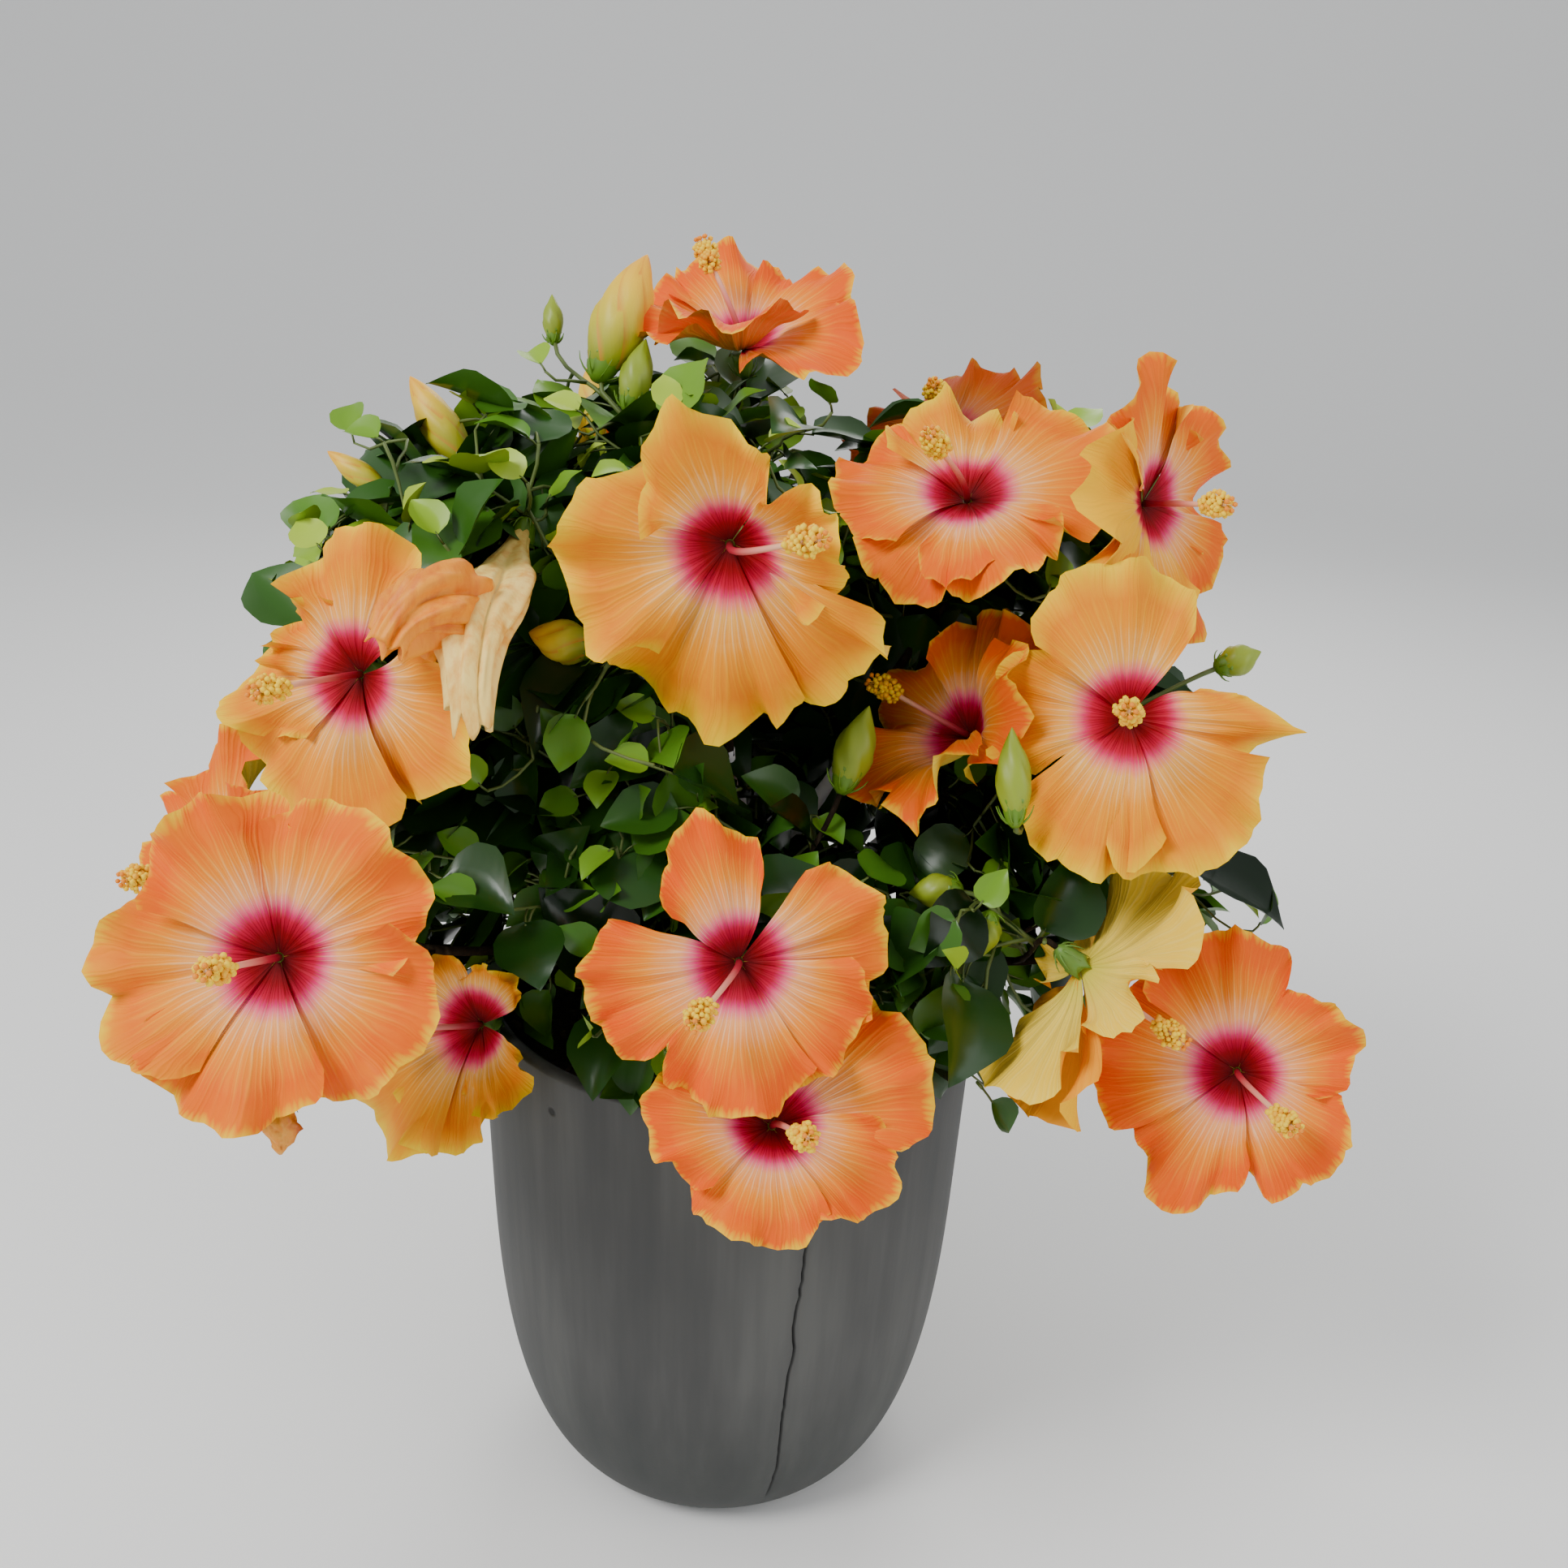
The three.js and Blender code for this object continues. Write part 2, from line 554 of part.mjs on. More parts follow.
// Leaves from a twig's tip back along it, each turned on from the last and tilted to the light.
function leavesOn(mass, twig, roll) {
  const leaves = [];
  const length = twig.curve.getLength();
  const count = Math.floor((length * LEAFY_SHARE) / LEAF_SPACING) + 1;
  const offset = roll() * 2 * Math.PI;
  for (let i = 0; i < count; i += 1) {
    const t = 1 - (i * LEAF_SPACING) / length;
    const point = onLimb(twig.curve, twig.steps, t);
    const way = twig.curve.getTangent(t);
    const { level, rise } = discAxes(way);
    const angle = offset + i * GOLDEN_TURN;
    const spread = level.clone().multiplyScalar(Math.cos(angle)).addScaledVector(rise, Math.sin(angle));
    const outer = outward(mass, point);
    const along = spread.addScaledVector(way, FORWARD).addScaledVector(outer, OUTWARD).normalize();
    const light = UP.clone().multiplyScalar(TO_LIGHT).addScaledVector(outer, LIGHT_OUT);
    const up = light.addScaledVector(along, -light.dot(along)).normalize();
    const size = LEAF_LENGTH * (i === 0 ? YOUNG_LEAF : THREE.MathUtils.lerp(...LEAF_SIZES, roll()));
    const root = point.clone().addScaledVector(way, -LEAF_SINK);
    leaves.push({ root, along, up, length: size, width: size * LEAF_WIDTH });
  }
  return leaves;
}

function shootEnds(mass, roll) {
  const ends = [];
  for (let i = 0; i < THROWS; i += 1) {
    const turn = 2 * Math.PI * roll();
    const height = 2 * roll() - 1;
    const flat = Math.sqrt(1 - height * height);
    const share = THREE.MathUtils.lerp(SHOOT_NEAR, SHOOT_FAR, roll());
    const end = at(
      mass.middle[0] + share * mass.reach[0] * flat * Math.cos(turn),
      mass.middle[1] + share * mass.reach[1] * flat * Math.sin(turn),
      mass.middle[2] + share * mass.reach[2] * height,
    );
    const apart = ends.every((other) => other.distanceTo(end) > SHOOT_SPACING);
    if (apart && inSpace(mass, end) && depthIn(CROWN, end) > BARE_HEART) {
      ends.push(end);
    }
  }
  return ends;
}

const group = new THREE.Group();

function add(name, geometry, colour, roughness) {
  const material = new THREE.MeshStandardMaterial({ color: colour, roughness, metalness: 0 });
  const mesh = new THREE.Mesh(geometry, material);
  mesh.name = name;
  group.add(mesh);
}

const pot = solidOf(stood(potGeometry())).subtract(crackSolid());
const soil = solidOf(stood(soilGeometry()));
const trunk = solidOf(limb(trunkCurve, trunkRadius, TRUNK_SIDES, TRUNK_STEPS));
add('pot', geometryOf(pot), COLOURS.pot, 0.75);
add('soil', geometryOf(soil), COLOURS.soil, 0.95);
add('main_stem', geometryOf(trunk), COLOURS.bark, 0.9);

// Each bough is cut clear of the trunk and of the boughs before it.
const firm = [pot, soil, trunk].map(listed);
const cutters = [solidOf(limb(trunkCurve, (t) => trunkRadius(t) + GAP, TRUNK_SIDES, TRUNK_STEPS))];
const groves = MASSES.map((mass) => {
  const bough = boughCurve(mass);
  const whole = (more) => {
    const taper = tapered(BOUGH_RADIUS + more, BOUGH_TIP_RADIUS + more);
    return solidOf(limb(bough, taper, BOUGH_SIDES, BOUGH_STEPS));
  };
  const solid = whole(0).subtract(wasm.Manifold.union(cutters));
  cutters.push(whole(2 * GAP));
  add(mass.name.replace('foliage', 'bough'), geometryOf(solid), COLOURS.bark, 0.9);
  firm.push(listed(solid));
  const stem = stemOf(mass, bough);
  const stemTaper = tapered(BOUGH_TIP_RADIUS, STEM_TIP_RADIUS);
  const stemSolid = solidOf(limb(stem, stemTaper, STEM_SIDES, STEM_STEPS));
  return {
    mass,
    roll: dice(mass.seed),
    nodes: newNodes(stem, STEM_STEPS, BOUGH_TIP_RADIUS, STEM_TIP_RADIUS),
    twigs: [{ curve: stem, steps: STEM_STEPS, solid: stemSolid }],
    blooms: BLOOMS.filter((bloom) => bloom.mass === mass.name),
    buds: BUDS.filter((bud) => bud.mass === mass.name),
    leaves: [],
  };
});

for (const grove of groves) {
  grove.flowers = [...grove.blooms.map(bloomSolid), ...grove.buds.map(budSolid)].map(listed);
}

// Everything a twig or leaf of this mass has to stay clear of; its own wood is left out, as it grows from it.
function foreignTo(grove) {
  const others = groves.filter((other) => other !== grove);
  const wood = others.flatMap((other) => other.twigs.map((twig) => listed(twig.solid)));
  return [...firm, ...wood, ...others.flatMap((other) => [...other.flowers, ...other.leaves])];
}

for (const grove of groves) {
  const avoid = foreignTo(grove);
  const ends = [
    ...grove.blooms.map((b) => {
      const way = facing(b.face);
      return { end: at(...b.eye).addScaledVector(way, CALYX_SINK - CALYX_LENGTH), way };
    }),
    ...grove.buds.map((b) => {
      const way = facing(b.way);
      return { end: at(...b.root).addScaledVector(way, BUD_TWIG_IN), way };
    }),
  ];
  const heart = at(...grove.mass.middle);
  ends.sort((a, b) => a.end.distanceTo(heart) - b.end.distanceTo(heart));
  for (const { end, way } of ends) {
    twigTo(grove, end, way, FLOWER_TWIG_TIP_RADIUS, avoid, true);
  }
}

for (const grove of groves) {
  const avoid = [...foreignTo(grove), ...grove.flowers];
  for (const end of shootEnds(grove.mass, grove.roll)) {
    const way = outward(grove.mass, end).addScaledVector(UP, 0.5).normalize();
    twigTo(grove, end, way, TWIG_TIP_RADIUS, avoid, false);
  }
}

for (const grove of groves) {
  const avoid = [...foreignTo(grove), ...grove.flowers];
  for (const twig of grove.twigs.slice(1)) {
    const ownTwigs = grove.twigs.filter((other) => other !== twig).map((other) => listed(other.solid));
    for (const leaf of leavesOn(grove.mass, twig, grove.roll)) {
      const tip = leaf.root.clone().addScaledVector(leaf.along, leaf.length);
      const room = inSpace(grove.mass, tip) && inSpace(grove.mass, leaf.root);
      const blade = leafSolid({ ...leaf, root: leaf.root.clone().addScaledVector(leaf.along, LEAF_FOOT) });
      const own = [...grove.leaves, ...ownTwigs];
      if (room && !touches(leafSolid(leaf, CLEAR), avoid) && !touches(blade, own)) {
        grove.leaves.push(listed(leafSolid(leaf)));
      }
    }
  }
  const pieces = [...grove.twigs, ...grove.flowers, ...grove.leaves].map((piece) => piece.solid);
  add(grove.mass.name, geometryOf(wasm.Manifold.union(pieces)), COLOURS.foliage, 0.6);
}

export default group;
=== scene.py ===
"""A hibiscus shrub in full bloom in its round patio pot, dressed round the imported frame. Metres, +Z up."""

import json
import math
from collections import namedtuple

import bmesh
import bpy
from bpy.props import FloatProperty, FloatVectorProperty, IntProperty, PointerProperty
from bpy.types import Operator, Panel, PropertyGroup
from mathutils import Matrix, Vector, noise
from mathutils.bvhtree import BVHTree

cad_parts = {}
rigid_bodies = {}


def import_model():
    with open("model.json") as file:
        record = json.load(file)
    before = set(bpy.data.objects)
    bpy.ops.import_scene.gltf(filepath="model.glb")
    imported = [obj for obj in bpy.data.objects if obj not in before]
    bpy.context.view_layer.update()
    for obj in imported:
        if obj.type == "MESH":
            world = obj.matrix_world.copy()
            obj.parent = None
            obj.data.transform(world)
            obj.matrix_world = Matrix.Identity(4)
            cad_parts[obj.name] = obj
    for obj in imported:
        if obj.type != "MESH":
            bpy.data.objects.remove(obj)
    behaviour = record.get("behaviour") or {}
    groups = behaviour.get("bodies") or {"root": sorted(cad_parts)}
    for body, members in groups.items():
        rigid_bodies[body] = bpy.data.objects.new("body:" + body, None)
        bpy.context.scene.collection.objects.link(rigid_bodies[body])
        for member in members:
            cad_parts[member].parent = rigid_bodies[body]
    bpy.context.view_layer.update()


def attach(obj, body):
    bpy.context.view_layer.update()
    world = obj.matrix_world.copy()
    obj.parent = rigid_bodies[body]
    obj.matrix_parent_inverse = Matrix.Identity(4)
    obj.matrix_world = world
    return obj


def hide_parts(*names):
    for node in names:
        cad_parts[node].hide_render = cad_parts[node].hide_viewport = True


bl_info = {
    "name": "Potted Hibiscus",
    "version": (1, 0, 0),
    "blender": (4, 5, 0),
    "location": "View3D > Sidebar > Hibiscus",
    "description": "Builds a flowering hibiscus shrub in a round patio pot, piece by piece",
    "category": "Add Mesh",
}

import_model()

MM = 0.001
UP = Vector((0, 0, 1))
GAP = 0.0003

# Pot, as in the solids
FLOOR = 0.016
LIP_ROUND = 0.004
SIDE_TAPER = 0.031
ROUND_SHARE = 0.62
ROUND_POWER = 2.59
SOIL_TOP = 0.368
SOIL_MOUND = 0.007
POT_COLUMNS = 132
PROFILE_STEPS = (72, 12, 18)
CRACK_COLUMN = 7
CRACK_MIDDLE = 20
CRACK_PULL = 3
CRACK_TURNS = [21.6, 20.4, 21.2, 20.6, 20.1, 18.8, 19.5, 18.4, 18.1, 18.6, 17.6]
CRACK_HEIGHTS = [1.02, 0.91, 0.84, 0.77, 0.655, 0.555, 0.505, 0.44, 0.33, 0.2, 0.09]
CRACK_JAG = 0.35
CRACK_NICK = 0.003
PIT = (-37.5, 0.372)
POT_HUB = 0.03
SOIL_COLUMNS = 96
SOIL_DEPTH = 0.04
CHIPS = 330
CHIP_CLEAR = 0.03

# Trunk and limbs, as in the solids
TRUNK_TOP = 0.486
FLARE = 0.009
FLARE_FALL = 0.13
TRUNK_LEAN = Vector((0.012, -0.010, 0))
BOUGH_RADIUS = 0.006
BOUGH_TIP_RADIUS = 0.0042
BOUGH_SHARE = 0.57
LEAST_RISE = 0.15
BOUGH_LIFT = 0.25
STEM_LIFT = 0.3
STEM_TIP_RADIUS = 0.0026
FLOWER_TWIG_TIP_RADIUS = 0.0018
THINNER = 0.85
SWING = 0.35

# The rule for branching, as in the solids
NODE_SPACING = 0.014
TURN_COST = 0.6
SHORTEST_TWIG = 0.022
SHORT_COST = 0.2
TRIES = 9
THROWS = 4200
SHOOT_NEAR = 0.12
SHOOT_FAR = 0.86
CROWN = ((10, 0, 590), (360, 320, 270))
HEART = (0, 0, 560)
BARE_HEART = 0.08
DEEP = 0.6
DEEP_REACH = 1.16
GOLDEN_TURN = 2.39996
PETAL_CLEAR = 0.003
FORWARD = 0.35
OUTWARD = 0.45
TO_LIGHT = 0.9
LIGHT_OUT = 0.7
SHARED_SPACE = 0.8
HEART_SHARE = 0.6
PATH_STEPS = 10
FLOWER_TWIG_FREE = 0.82

# The space that is left free in front of a flower: from behind it, to before it, and to its side as a share
# of a bloom's span
BLOOM_SPACE = (-0.004, 0.15)
BLOOM_SIDE = 0.57
SHOWN_SPACE = (-0.01, 0.2)

# Petals
PETALS = 5
CUP = 0.5
RECURVE = 0.3
OVERLAP_LIFT = 0.09
BASE_HALF = 45
MARGIN_HALF = 46
PETAL_CELLS = (28, 22)
BAKE_CELLS = (4, 3)
BAKE_GAP = 0.006
CALYX_LENGTH = 0.024
CALYX_BREADTH = 0.0088
CALYX_SINK = 0.005


def at(x, y, z):
    """A place that is given in millimetres."""
    return Vector((x, y, z)) * MM


def facing(turn, height):
    """A direction from its turn about Z, 0 straight at the viewer's side, and its height, in degrees."""
    t, h = math.radians(turn), math.radians(height)
    return Vector((math.sin(t) * math.cos(h), -math.cos(t) * math.cos(h), math.sin(h)))


def mix(a, b, t):
    return a + (b - a) * t


def smooth(t):
    t = min(max(t, 0), 1)
    return t * t * (3 - 2 * t)


def paint(red, green, blue):
    """A colour as seen, 0 to 255, as the shader's linear values."""
    return tuple((c / 255) ** 2.2 for c in (red, green, blue)) + (1.0,)


# Foliage masses: name, middle of the space, its half sizes, height of the bough on the trunk, seed
Mass = namedtuple("Mass", "name middle reach fork seed")
MASSES = [Mass(*row) for row in (
    ("low_left", (-205, -120, 480), (165, 165, 120), 404, 11),
    ("upper_left", (-175, -25, 690), (130, 150, 140), 452, 12),
    ("top", (-35, 95, 760), (150, 140, 125), 478, 13),
    ("upper_front", (-15, -75, 690), (120, 125, 120), 468, 14),
    ("upper_right", (165, 70, 715), (150, 165, 110), 460, 15),
    ("right", (190, -35, 600), (145, 125, 95), 440, 16),
    ("low_front", (5, -130, 490), (130, 125, 120), 416, 17),
    ("low_right", (225, -70, 465), (165, 140, 115), 410, 18),
    ("back_left", (-180, 165, 590), (165, 160, 150), 430, 19),
    ("back_right", (190, 190, 560), (165, 160, 140), 424, 20),
    ("back", (5, 225, 520), (135, 135, 150), 446, 31),
)]

# Blooms: mass, eye, face, column, turn of the first petal, span, how golden from 0 to 1, and the petals.
# A petal departs from the even form by its turn, reach, breadth, point and lean to the front.
EVEN = ((0, 1, 1, 0, 0),) * 5
Bloom = namedtuple("Bloom", "mass eye face column turn span gold petals")
BLOOMS = [Bloom(*row) for row in (
    ("low_left", (-233, -268, 548), (1, 25), (-7, 23), 48, 185, 0.1, (
        (-3, 1.02, 1.05, 0, 4), (-3, 0.98, 0.88, 0.02, 0), (3, 1.0, 1.02, 0, 0), (-10, 1.0, 1.0, 0, 8),
        (-8, 1.0, 1.05, 0, 0))),
    ("low_left", (-322, -92, 512), (-48, 25), (-40, 14), 107, 165, 0.1, (
        (0, 1.08, 0.8, 0.03, 0), (0, 1.0, 0.9, 0, 0), (0, 1, 1, 0, 0), (0, 1, 1, 0, 0), (0, 1, 0.9, 0, 0))),
    ("low_left", (-160, -110, 416), (-22, 22), (-66, 8), 81, 170, 0.85, (
        (-6, 0.5, 0.9, 0, 0), (2, 0.7, 1.0, 0, 0), (-4, 1.3, 1.05, 0.04, 0), (-34, 1.0, 0.95, 0.06, 0),
        (-52, 0.76, 0.85, 0.08, 10))),
    ("upper_left", (-216, -141, 667), (-23, 12), (-28, 8), 87, 180, 0.8, (
        (-4, 0.92, 1.05, 0.04, -6), (-11, 0.58, 0.95, 0, -4), (-30, 0.86, 0.85, 0.22, 0),
        (-44, 1.12, 1.1, 0, 0), (-42, 0.98, 1.25, 0.08, -6))),
    ("top", (-10, 120, 831), (-16, 69), (-92, 67), 117, 170, -0.1, (
        (0, 1, 1, 0, 14), (8, 0.98, 1.1, 0, 14), (14, 0.92, 1.3, 0, 32), (0, 1.16, 1.0, 0.12, 4),
        (0, 1.0, 1.0, 0.08, 8))),
    ("upper_front", (-3, -147, 756), (-7, -13), (37, 13), 114, 188, 0.95, (
        (-8, 0.84, 1.1, 0.24, 0), (2, 1.04, 1.1, 0.03, 0), (2, 1.25, 0.95, 0, -4), (-22, 1.18, 0.78, 0, -4),
        (-28, 0.76, 1.0, 0, 6))),
    ("upper_right", (141, -19, 759), (-12, 56), (-31, 39), 92, 175, 0.15, (
        (20, 0.85, 1.1, 0, 0), (24, 0.98, 1.05, 0, 0), (12, 1.0, 0.95, 0, -8), (-12, 1.0, 0.95, 0.02, 0),
        (0, 1.08, 1.15, 0.02, 0))),
    # Gold of -1.0 browns this bloom all over, front and back, as painted shade
    ("upper_right", (144, 178, 762), (-60, 62), (-20, 44), 129, 160, -1.0, EVEN),
    ("upper_right", (250, -24, 764), (52, 10), (29, 11), 83, 168, 0.1, (
        (18, 0.97, 1.35, 0.12, -2), (28, 1.02, 1.25, 0, -2), (10, 1.0, 1.05, 0, 2), (-4, 1.14, 1.0, 0.1, 0),
        (7, 0.9, 1.35, 0, -2))),
    ("right", (240, -107, 650), (-7, 19), (-13, 21), 100, 185, 0.95, (
        (3, 1.03, 0.95, 0, 4), (5, 0.88, 0.9, 0, -24), (10, 1.08, 0.78, 0, 0), (-12, 1.1, 0.95, 0, 0),
        (-28, 0.88, 0.60, 0.26, 0))),
    ("right", (154, -44, 610), (-60, 31), (-101, 25), 99, 165, 0.0, (
        (0, 1.0, 1, 0, 0), (0, 1, 1, 0, 0), (0, 1.0, 0.9, 0.1, 20), (0, 1.1, 0.9, 0.1, 30),
        (0, 1.05, 1, 0, 20))),
    ("low_front", (11, -189, 515), (7, 20), (-15, 2), 112, 180, 0.0, (
        (-5, 0.95, 0.74, 0.14, 0), (8, 1.04, 0.74, 0, 0), (8, 1.0, 0.86, 0, 6), (-8, 0.94, 0.95, 0, 0),
        (-28, 1.0, 1.0, 0, -10))),
    ("low_front", (35, -216, 419), (9, 47), (18, 29), 34, 170, 0.05, (
        (-7, 1.22, 0.95, 0, 0), (0, 0.8, 1, 0, 0), (0, 0.9, 0.95, 0, 0), (0, 0.9, 1.0, 0, 4),
        (2, 0.92, 0.85, 0.06, 0))),
    ("low_right", (337, -127, 417), (-22, 22), (9, 7), 109, 178, 0.0, (
        (0, 1.06, 0.85, 0, 0), (0, 1.08, 0.95, 0, 0), (0, 1.04, 0.82, 0.16, 0), (0, 0.93, 0.85, 0, 0),
        (-2, 0.88, 0.82, 0.06, 0))),
    ("low_right", (225, -130, 490), (100, -42), (66, -26), 75, 174, 0.9, (
        (8, 1.0, 1.05, 0.04, -6), (23, 0.6, 1.1, 0, -3), (35, 1.04, 1.05, 0.04, -10), (-26, 1.2, 1.25, 0, 16),
        (-12, 0.5, 1.0, 0, -10))),
)]

# Petals that are more golden than the rest of their bloom: bloom and petal, both counted from 0
GOLDEN_PETALS = {(8, 1): 1.1, (8, 2): 1.0, (6, 0): 0.8, (6, 4): 0.3, (0, 2): 0.35, (11, 4): 0.2,
                 (14, 3): 0.8}

# Blooms on the far side: mass, then turn and height of each. They stand on a rounded crown.
BACK_BLOOM_SPAN = 172
BACK_REACH = 300
BACK_WIDEST = 500
BACK_BLOOMS = [
    ("back_left", ((207, 690), (243, 520))),
    ("back_right", ((152, 640), (118, 545))),
    ("back", ((181, 600), (172, 440))),
]
for mass_name, places in BACK_BLOOMS:
    for nth, (turn, height) in enumerate(places):
        eye = facing(turn, 0) * (BACK_REACH - 60 * ((height - BACK_WIDEST) / 200) ** 2)
        BLOOMS.append(Bloom(
            mass=mass_name,
            eye=(eye.x, eye.y, height),
            face=(turn + 12 - 24 * nth, 24 + 14 * nth),
            column=(turn - 14 + 20 * nth, 12 + 20 * nth),
            turn=40 + 25 * nth,
            span=BACK_BLOOM_SPAN - 6 * nth,
            gold=0.5 * nth,
            petals=EVEN,
        ))

# Buds and spent flowers: mass, root, way, length, width as a share of it, kind
Bud = namedtuple("Bud", "mass root way length width kind")
BUDS = [Bud(*row) for row in (
    ("top", (-106, 81, 813), (137, 61), 92, 0.44, "yellow"),
    ("top", (-84, 66, 796), (150, 65), 50, 0.46, "green"),
    ("top", (-142, 118, 832), (-168, 68), 34, 0.44, "green"),
    ("upper_left", (-181, 5, 760), (-119, 50), 74, 0.36, "yellow"),
    ("upper_left", (-232, -2, 744), (-103, 30), 50, 0.34, "yellow"),
    ("upper_left", (-132, -66, 742), (-10, -49), 108, 0.34, "limp"),
    ("upper_front", (-86, -104, 677), (-95, 11), 42, 0.66, "yellow"),
    ("low_front", (70, -92, 589), (144, 63), 57, 0.47, "green"),
    ("right", (173, -140, 592), (-168, 68), 59, 0.38, "green"),
    ("right", (307, -52, 668), (99, 21), 30, 0.7, "green"),
    ("low_right", (146, -108, 530), (-87, -7), 33, 0.7, "green"),
    ("low_right", (169, -108, 512), (-19, -67), 28, 0.66, "green"),
    ("low_left", (-249, -243, 436), (7, -68), 30, 0.7, "wilted"),
    ("back_left", (-120, 200, 745), (200, 60), 70, 0.42, "yellow"),
    ("back_right", (230, 170, 700), (120, 55), 60, 0.42, "yellow"),
    ("back", (40, 250, 680), (170, 60), 52, 0.46, "green"),
)]

# Middles and radii of what the foliage leaves in view from the front, and the way to the viewer
TO_VIEWER = Vector((0, -0.927, 0.375))
SIDE_ON = (2, 14)
SHOWN = [(at(*BLOOMS[number].eye), 0.2 * BLOOMS[number].span * MM) for number in SIDE_ON]
for bud in BUDS:
    bud_reach, bud_radius = facing(*bud.way) * (bud.length * MM), 0.012 + 0.2 * bud.length * MM * bud.width
    SHOWN += [(at(*bud.root) + bud_reach * share, bud_radius) for share in (0.3, 0.85)]
SHOWN += [
    (at(-136, -200, 700), 0.045), (at(-173, -200, 720), 0.035), (at(-135, -210, 675), 0.03),
    (at(-185, -130, 385), 0.055), (at(207, -150, 446), 0.05), (at(245, -130, 500), 0.055),
]


class HibiscusPotSettings(PropertyGroup):
    """Sizes and finish of the pot and its soil."""

    height: FloatProperty(name="Height", description="Height of the pot", default=0.402, unit="LENGTH")
    rim_radius: FloatProperty(name="Rim radius", description="At the rim", default=0.180, unit="LENGTH")
    base_radius: FloatProperty(name="Base radius", description="Of the foot", default=0.086, unit="LENGTH")
    wall: FloatProperty(name="Wall", description="Thickness of the wall", default=0.011, unit="LENGTH")
    crack_depth: FloatProperty(name="Crack depth", description="At its deepest", default=0.005, unit="LENGTH")
    crack_turn: FloatProperty(
        name="Crack half width", description="Half the crack's width, as a turn round the pot",
        default=math.radians(0.45), subtype="ANGLE",
    )
    colour: FloatVectorProperty(
        name="Colour", description="Charcoal of the pot", default=paint(69, 69, 68)[:3], subtype="COLOR",
    )
    low_colour: FloatVectorProperty(
        name="Low colour", description="Darker tone of the streaks and the foot",
        default=paint(56, 58, 58)[:3], subtype="COLOR",
    )


class HibiscusWoodSettings(PropertyGroup):
    """Sizes and colours of the trunk, boughs and twigs."""

    foot_radius: FloatProperty(name="Foot radius", description="Over the flare", default=0.013, unit="LENGTH")
    top_radius: FloatProperty(name="Top radius", description="At the fork", default=0.0085, unit="LENGTH")
    twig_radius: FloatProperty(name="Twig radius", description="At its foot", default=0.0022, unit="LENGTH")
    tip_radius: FloatProperty(name="Tip radius", description="Of a shoot", default=0.0011, unit="LENGTH")
    bark_colour: FloatVectorProperty(
        name="Bark", description="Grey-brown of the bark", default=paint(44, 36, 28)[:3], subtype="COLOR",
    )
    young_colour: FloatVectorProperty(
        name="Young wood", description="Green of the shoots", default=paint(88, 104, 48)[:3], subtype="COLOR",
    )


class HibiscusLeafSettings(PropertyGroup):
    """Size and number of the leaves."""

    length: FloatProperty(name="Length", description="Length of a grown leaf", default=0.068, unit="LENGTH")
    width: FloatProperty(name="Width", description="Width as a share of length", default=0.78)
    spacing: FloatProperty(name="Spacing", description="From leaf to leaf", default=0.0100, unit="LENGTH")
    shoot_spacing: FloatProperty(name="Shoots", description="From tip to tip", default=0.034, unit="LENGTH")
    petiole: FloatProperty(name="Stalk", description="Length of a leaf's stalk", default=0.016, unit="LENGTH")


class HibiscusBloomSettings(PropertyGroup):
    """Shape of the petals."""

    notch: FloatProperty(name="Notch", description="How far a petal's shoulders fall back", default=0.26)
    ruffle: FloatProperty(name="Ruffle", description="Wave of the margin, of the radius", default=0.108)
    frill: FloatProperty(name="Frill", description="Fine wave of the margin", default=0.038)
    column: FloatProperty(name="Column", description="Column as a share of the span", default=0.44)
    anthers: IntProperty(name="Anthers", description="Anthers on a column", default=84)
    thickness: FloatProperty(name="Thickness", description="Of a petal", default=0.0008, unit="LENGTH")


class HibiscusStageSettings(PropertyGroup):
    """Floor, light and camera."""

    floor_size: FloatProperty(name="Floor", description="Side of the floor", default=24.0, unit="LENGTH")
    floor_colour: FloatVectorProperty(
        name="Floor colour", description="Pale floor", default=(0.9, 0.89, 0.87), subtype="COLOR",
    )
    sky: FloatProperty(name="Sky", description="Strength of the light from all round", default=0.66)
    key: FloatProperty(name="Key light", description="Of the large light", default=80.0, subtype="POWER")


# Helpers for meshes


def mesh_of(name, bm, materials=(), is_smooth=True):
    """A mesh from bm, which is used up."""
    mesh = bpy.data.meshes.new(name)
    bm.to_mesh(mesh)
    bm.free()
    for material in materials:
        mesh.materials.append(material)
    mesh.polygons.foreach_set("use_smooth", [is_smooth] * len(mesh.polygons))
    return mesh


def linked(name, data):
    """A new object in the scene."""
    made = bpy.data.objects.new(name, data)
    bpy.context.scene.collection.objects.link(made)
    return made


def finish_piece(name, bm, materials, replaced=(), is_smooth=True):
    """A mesh made the named object, riding on the frame and standing for the named solids."""
    old = bpy.data.objects.get(name)
    if old:
        bpy.data.objects.remove(old)
    piece = linked(name, mesh_of(name, bm, materials, is_smooth))
    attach(piece, "root")
    if replaced:
        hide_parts(*replaced)


def ball():
    """A small unit ball that is kept only to be copied."""
    bm = bmesh.new()
    bmesh.ops.create_icosphere(bm, subdivisions=1, radius=1)
    return mesh_of("ball", bm)


def add_copy(bm, template, place, material=0):
    """The template added to bm, each corner put where place says, and its new corners."""
    first_vert, first_face = len(bm.verts), len(bm.faces)
    bm.from_mesh(template)
    bm.verts.ensure_lookup_table()
    bm.faces.ensure_lookup_table()
    added = bm.verts[first_vert:]
    for vert in added:
        vert.co = place(vert.co)
    for face in bm.faces[first_face:]:
        face.material_index = material
    return added


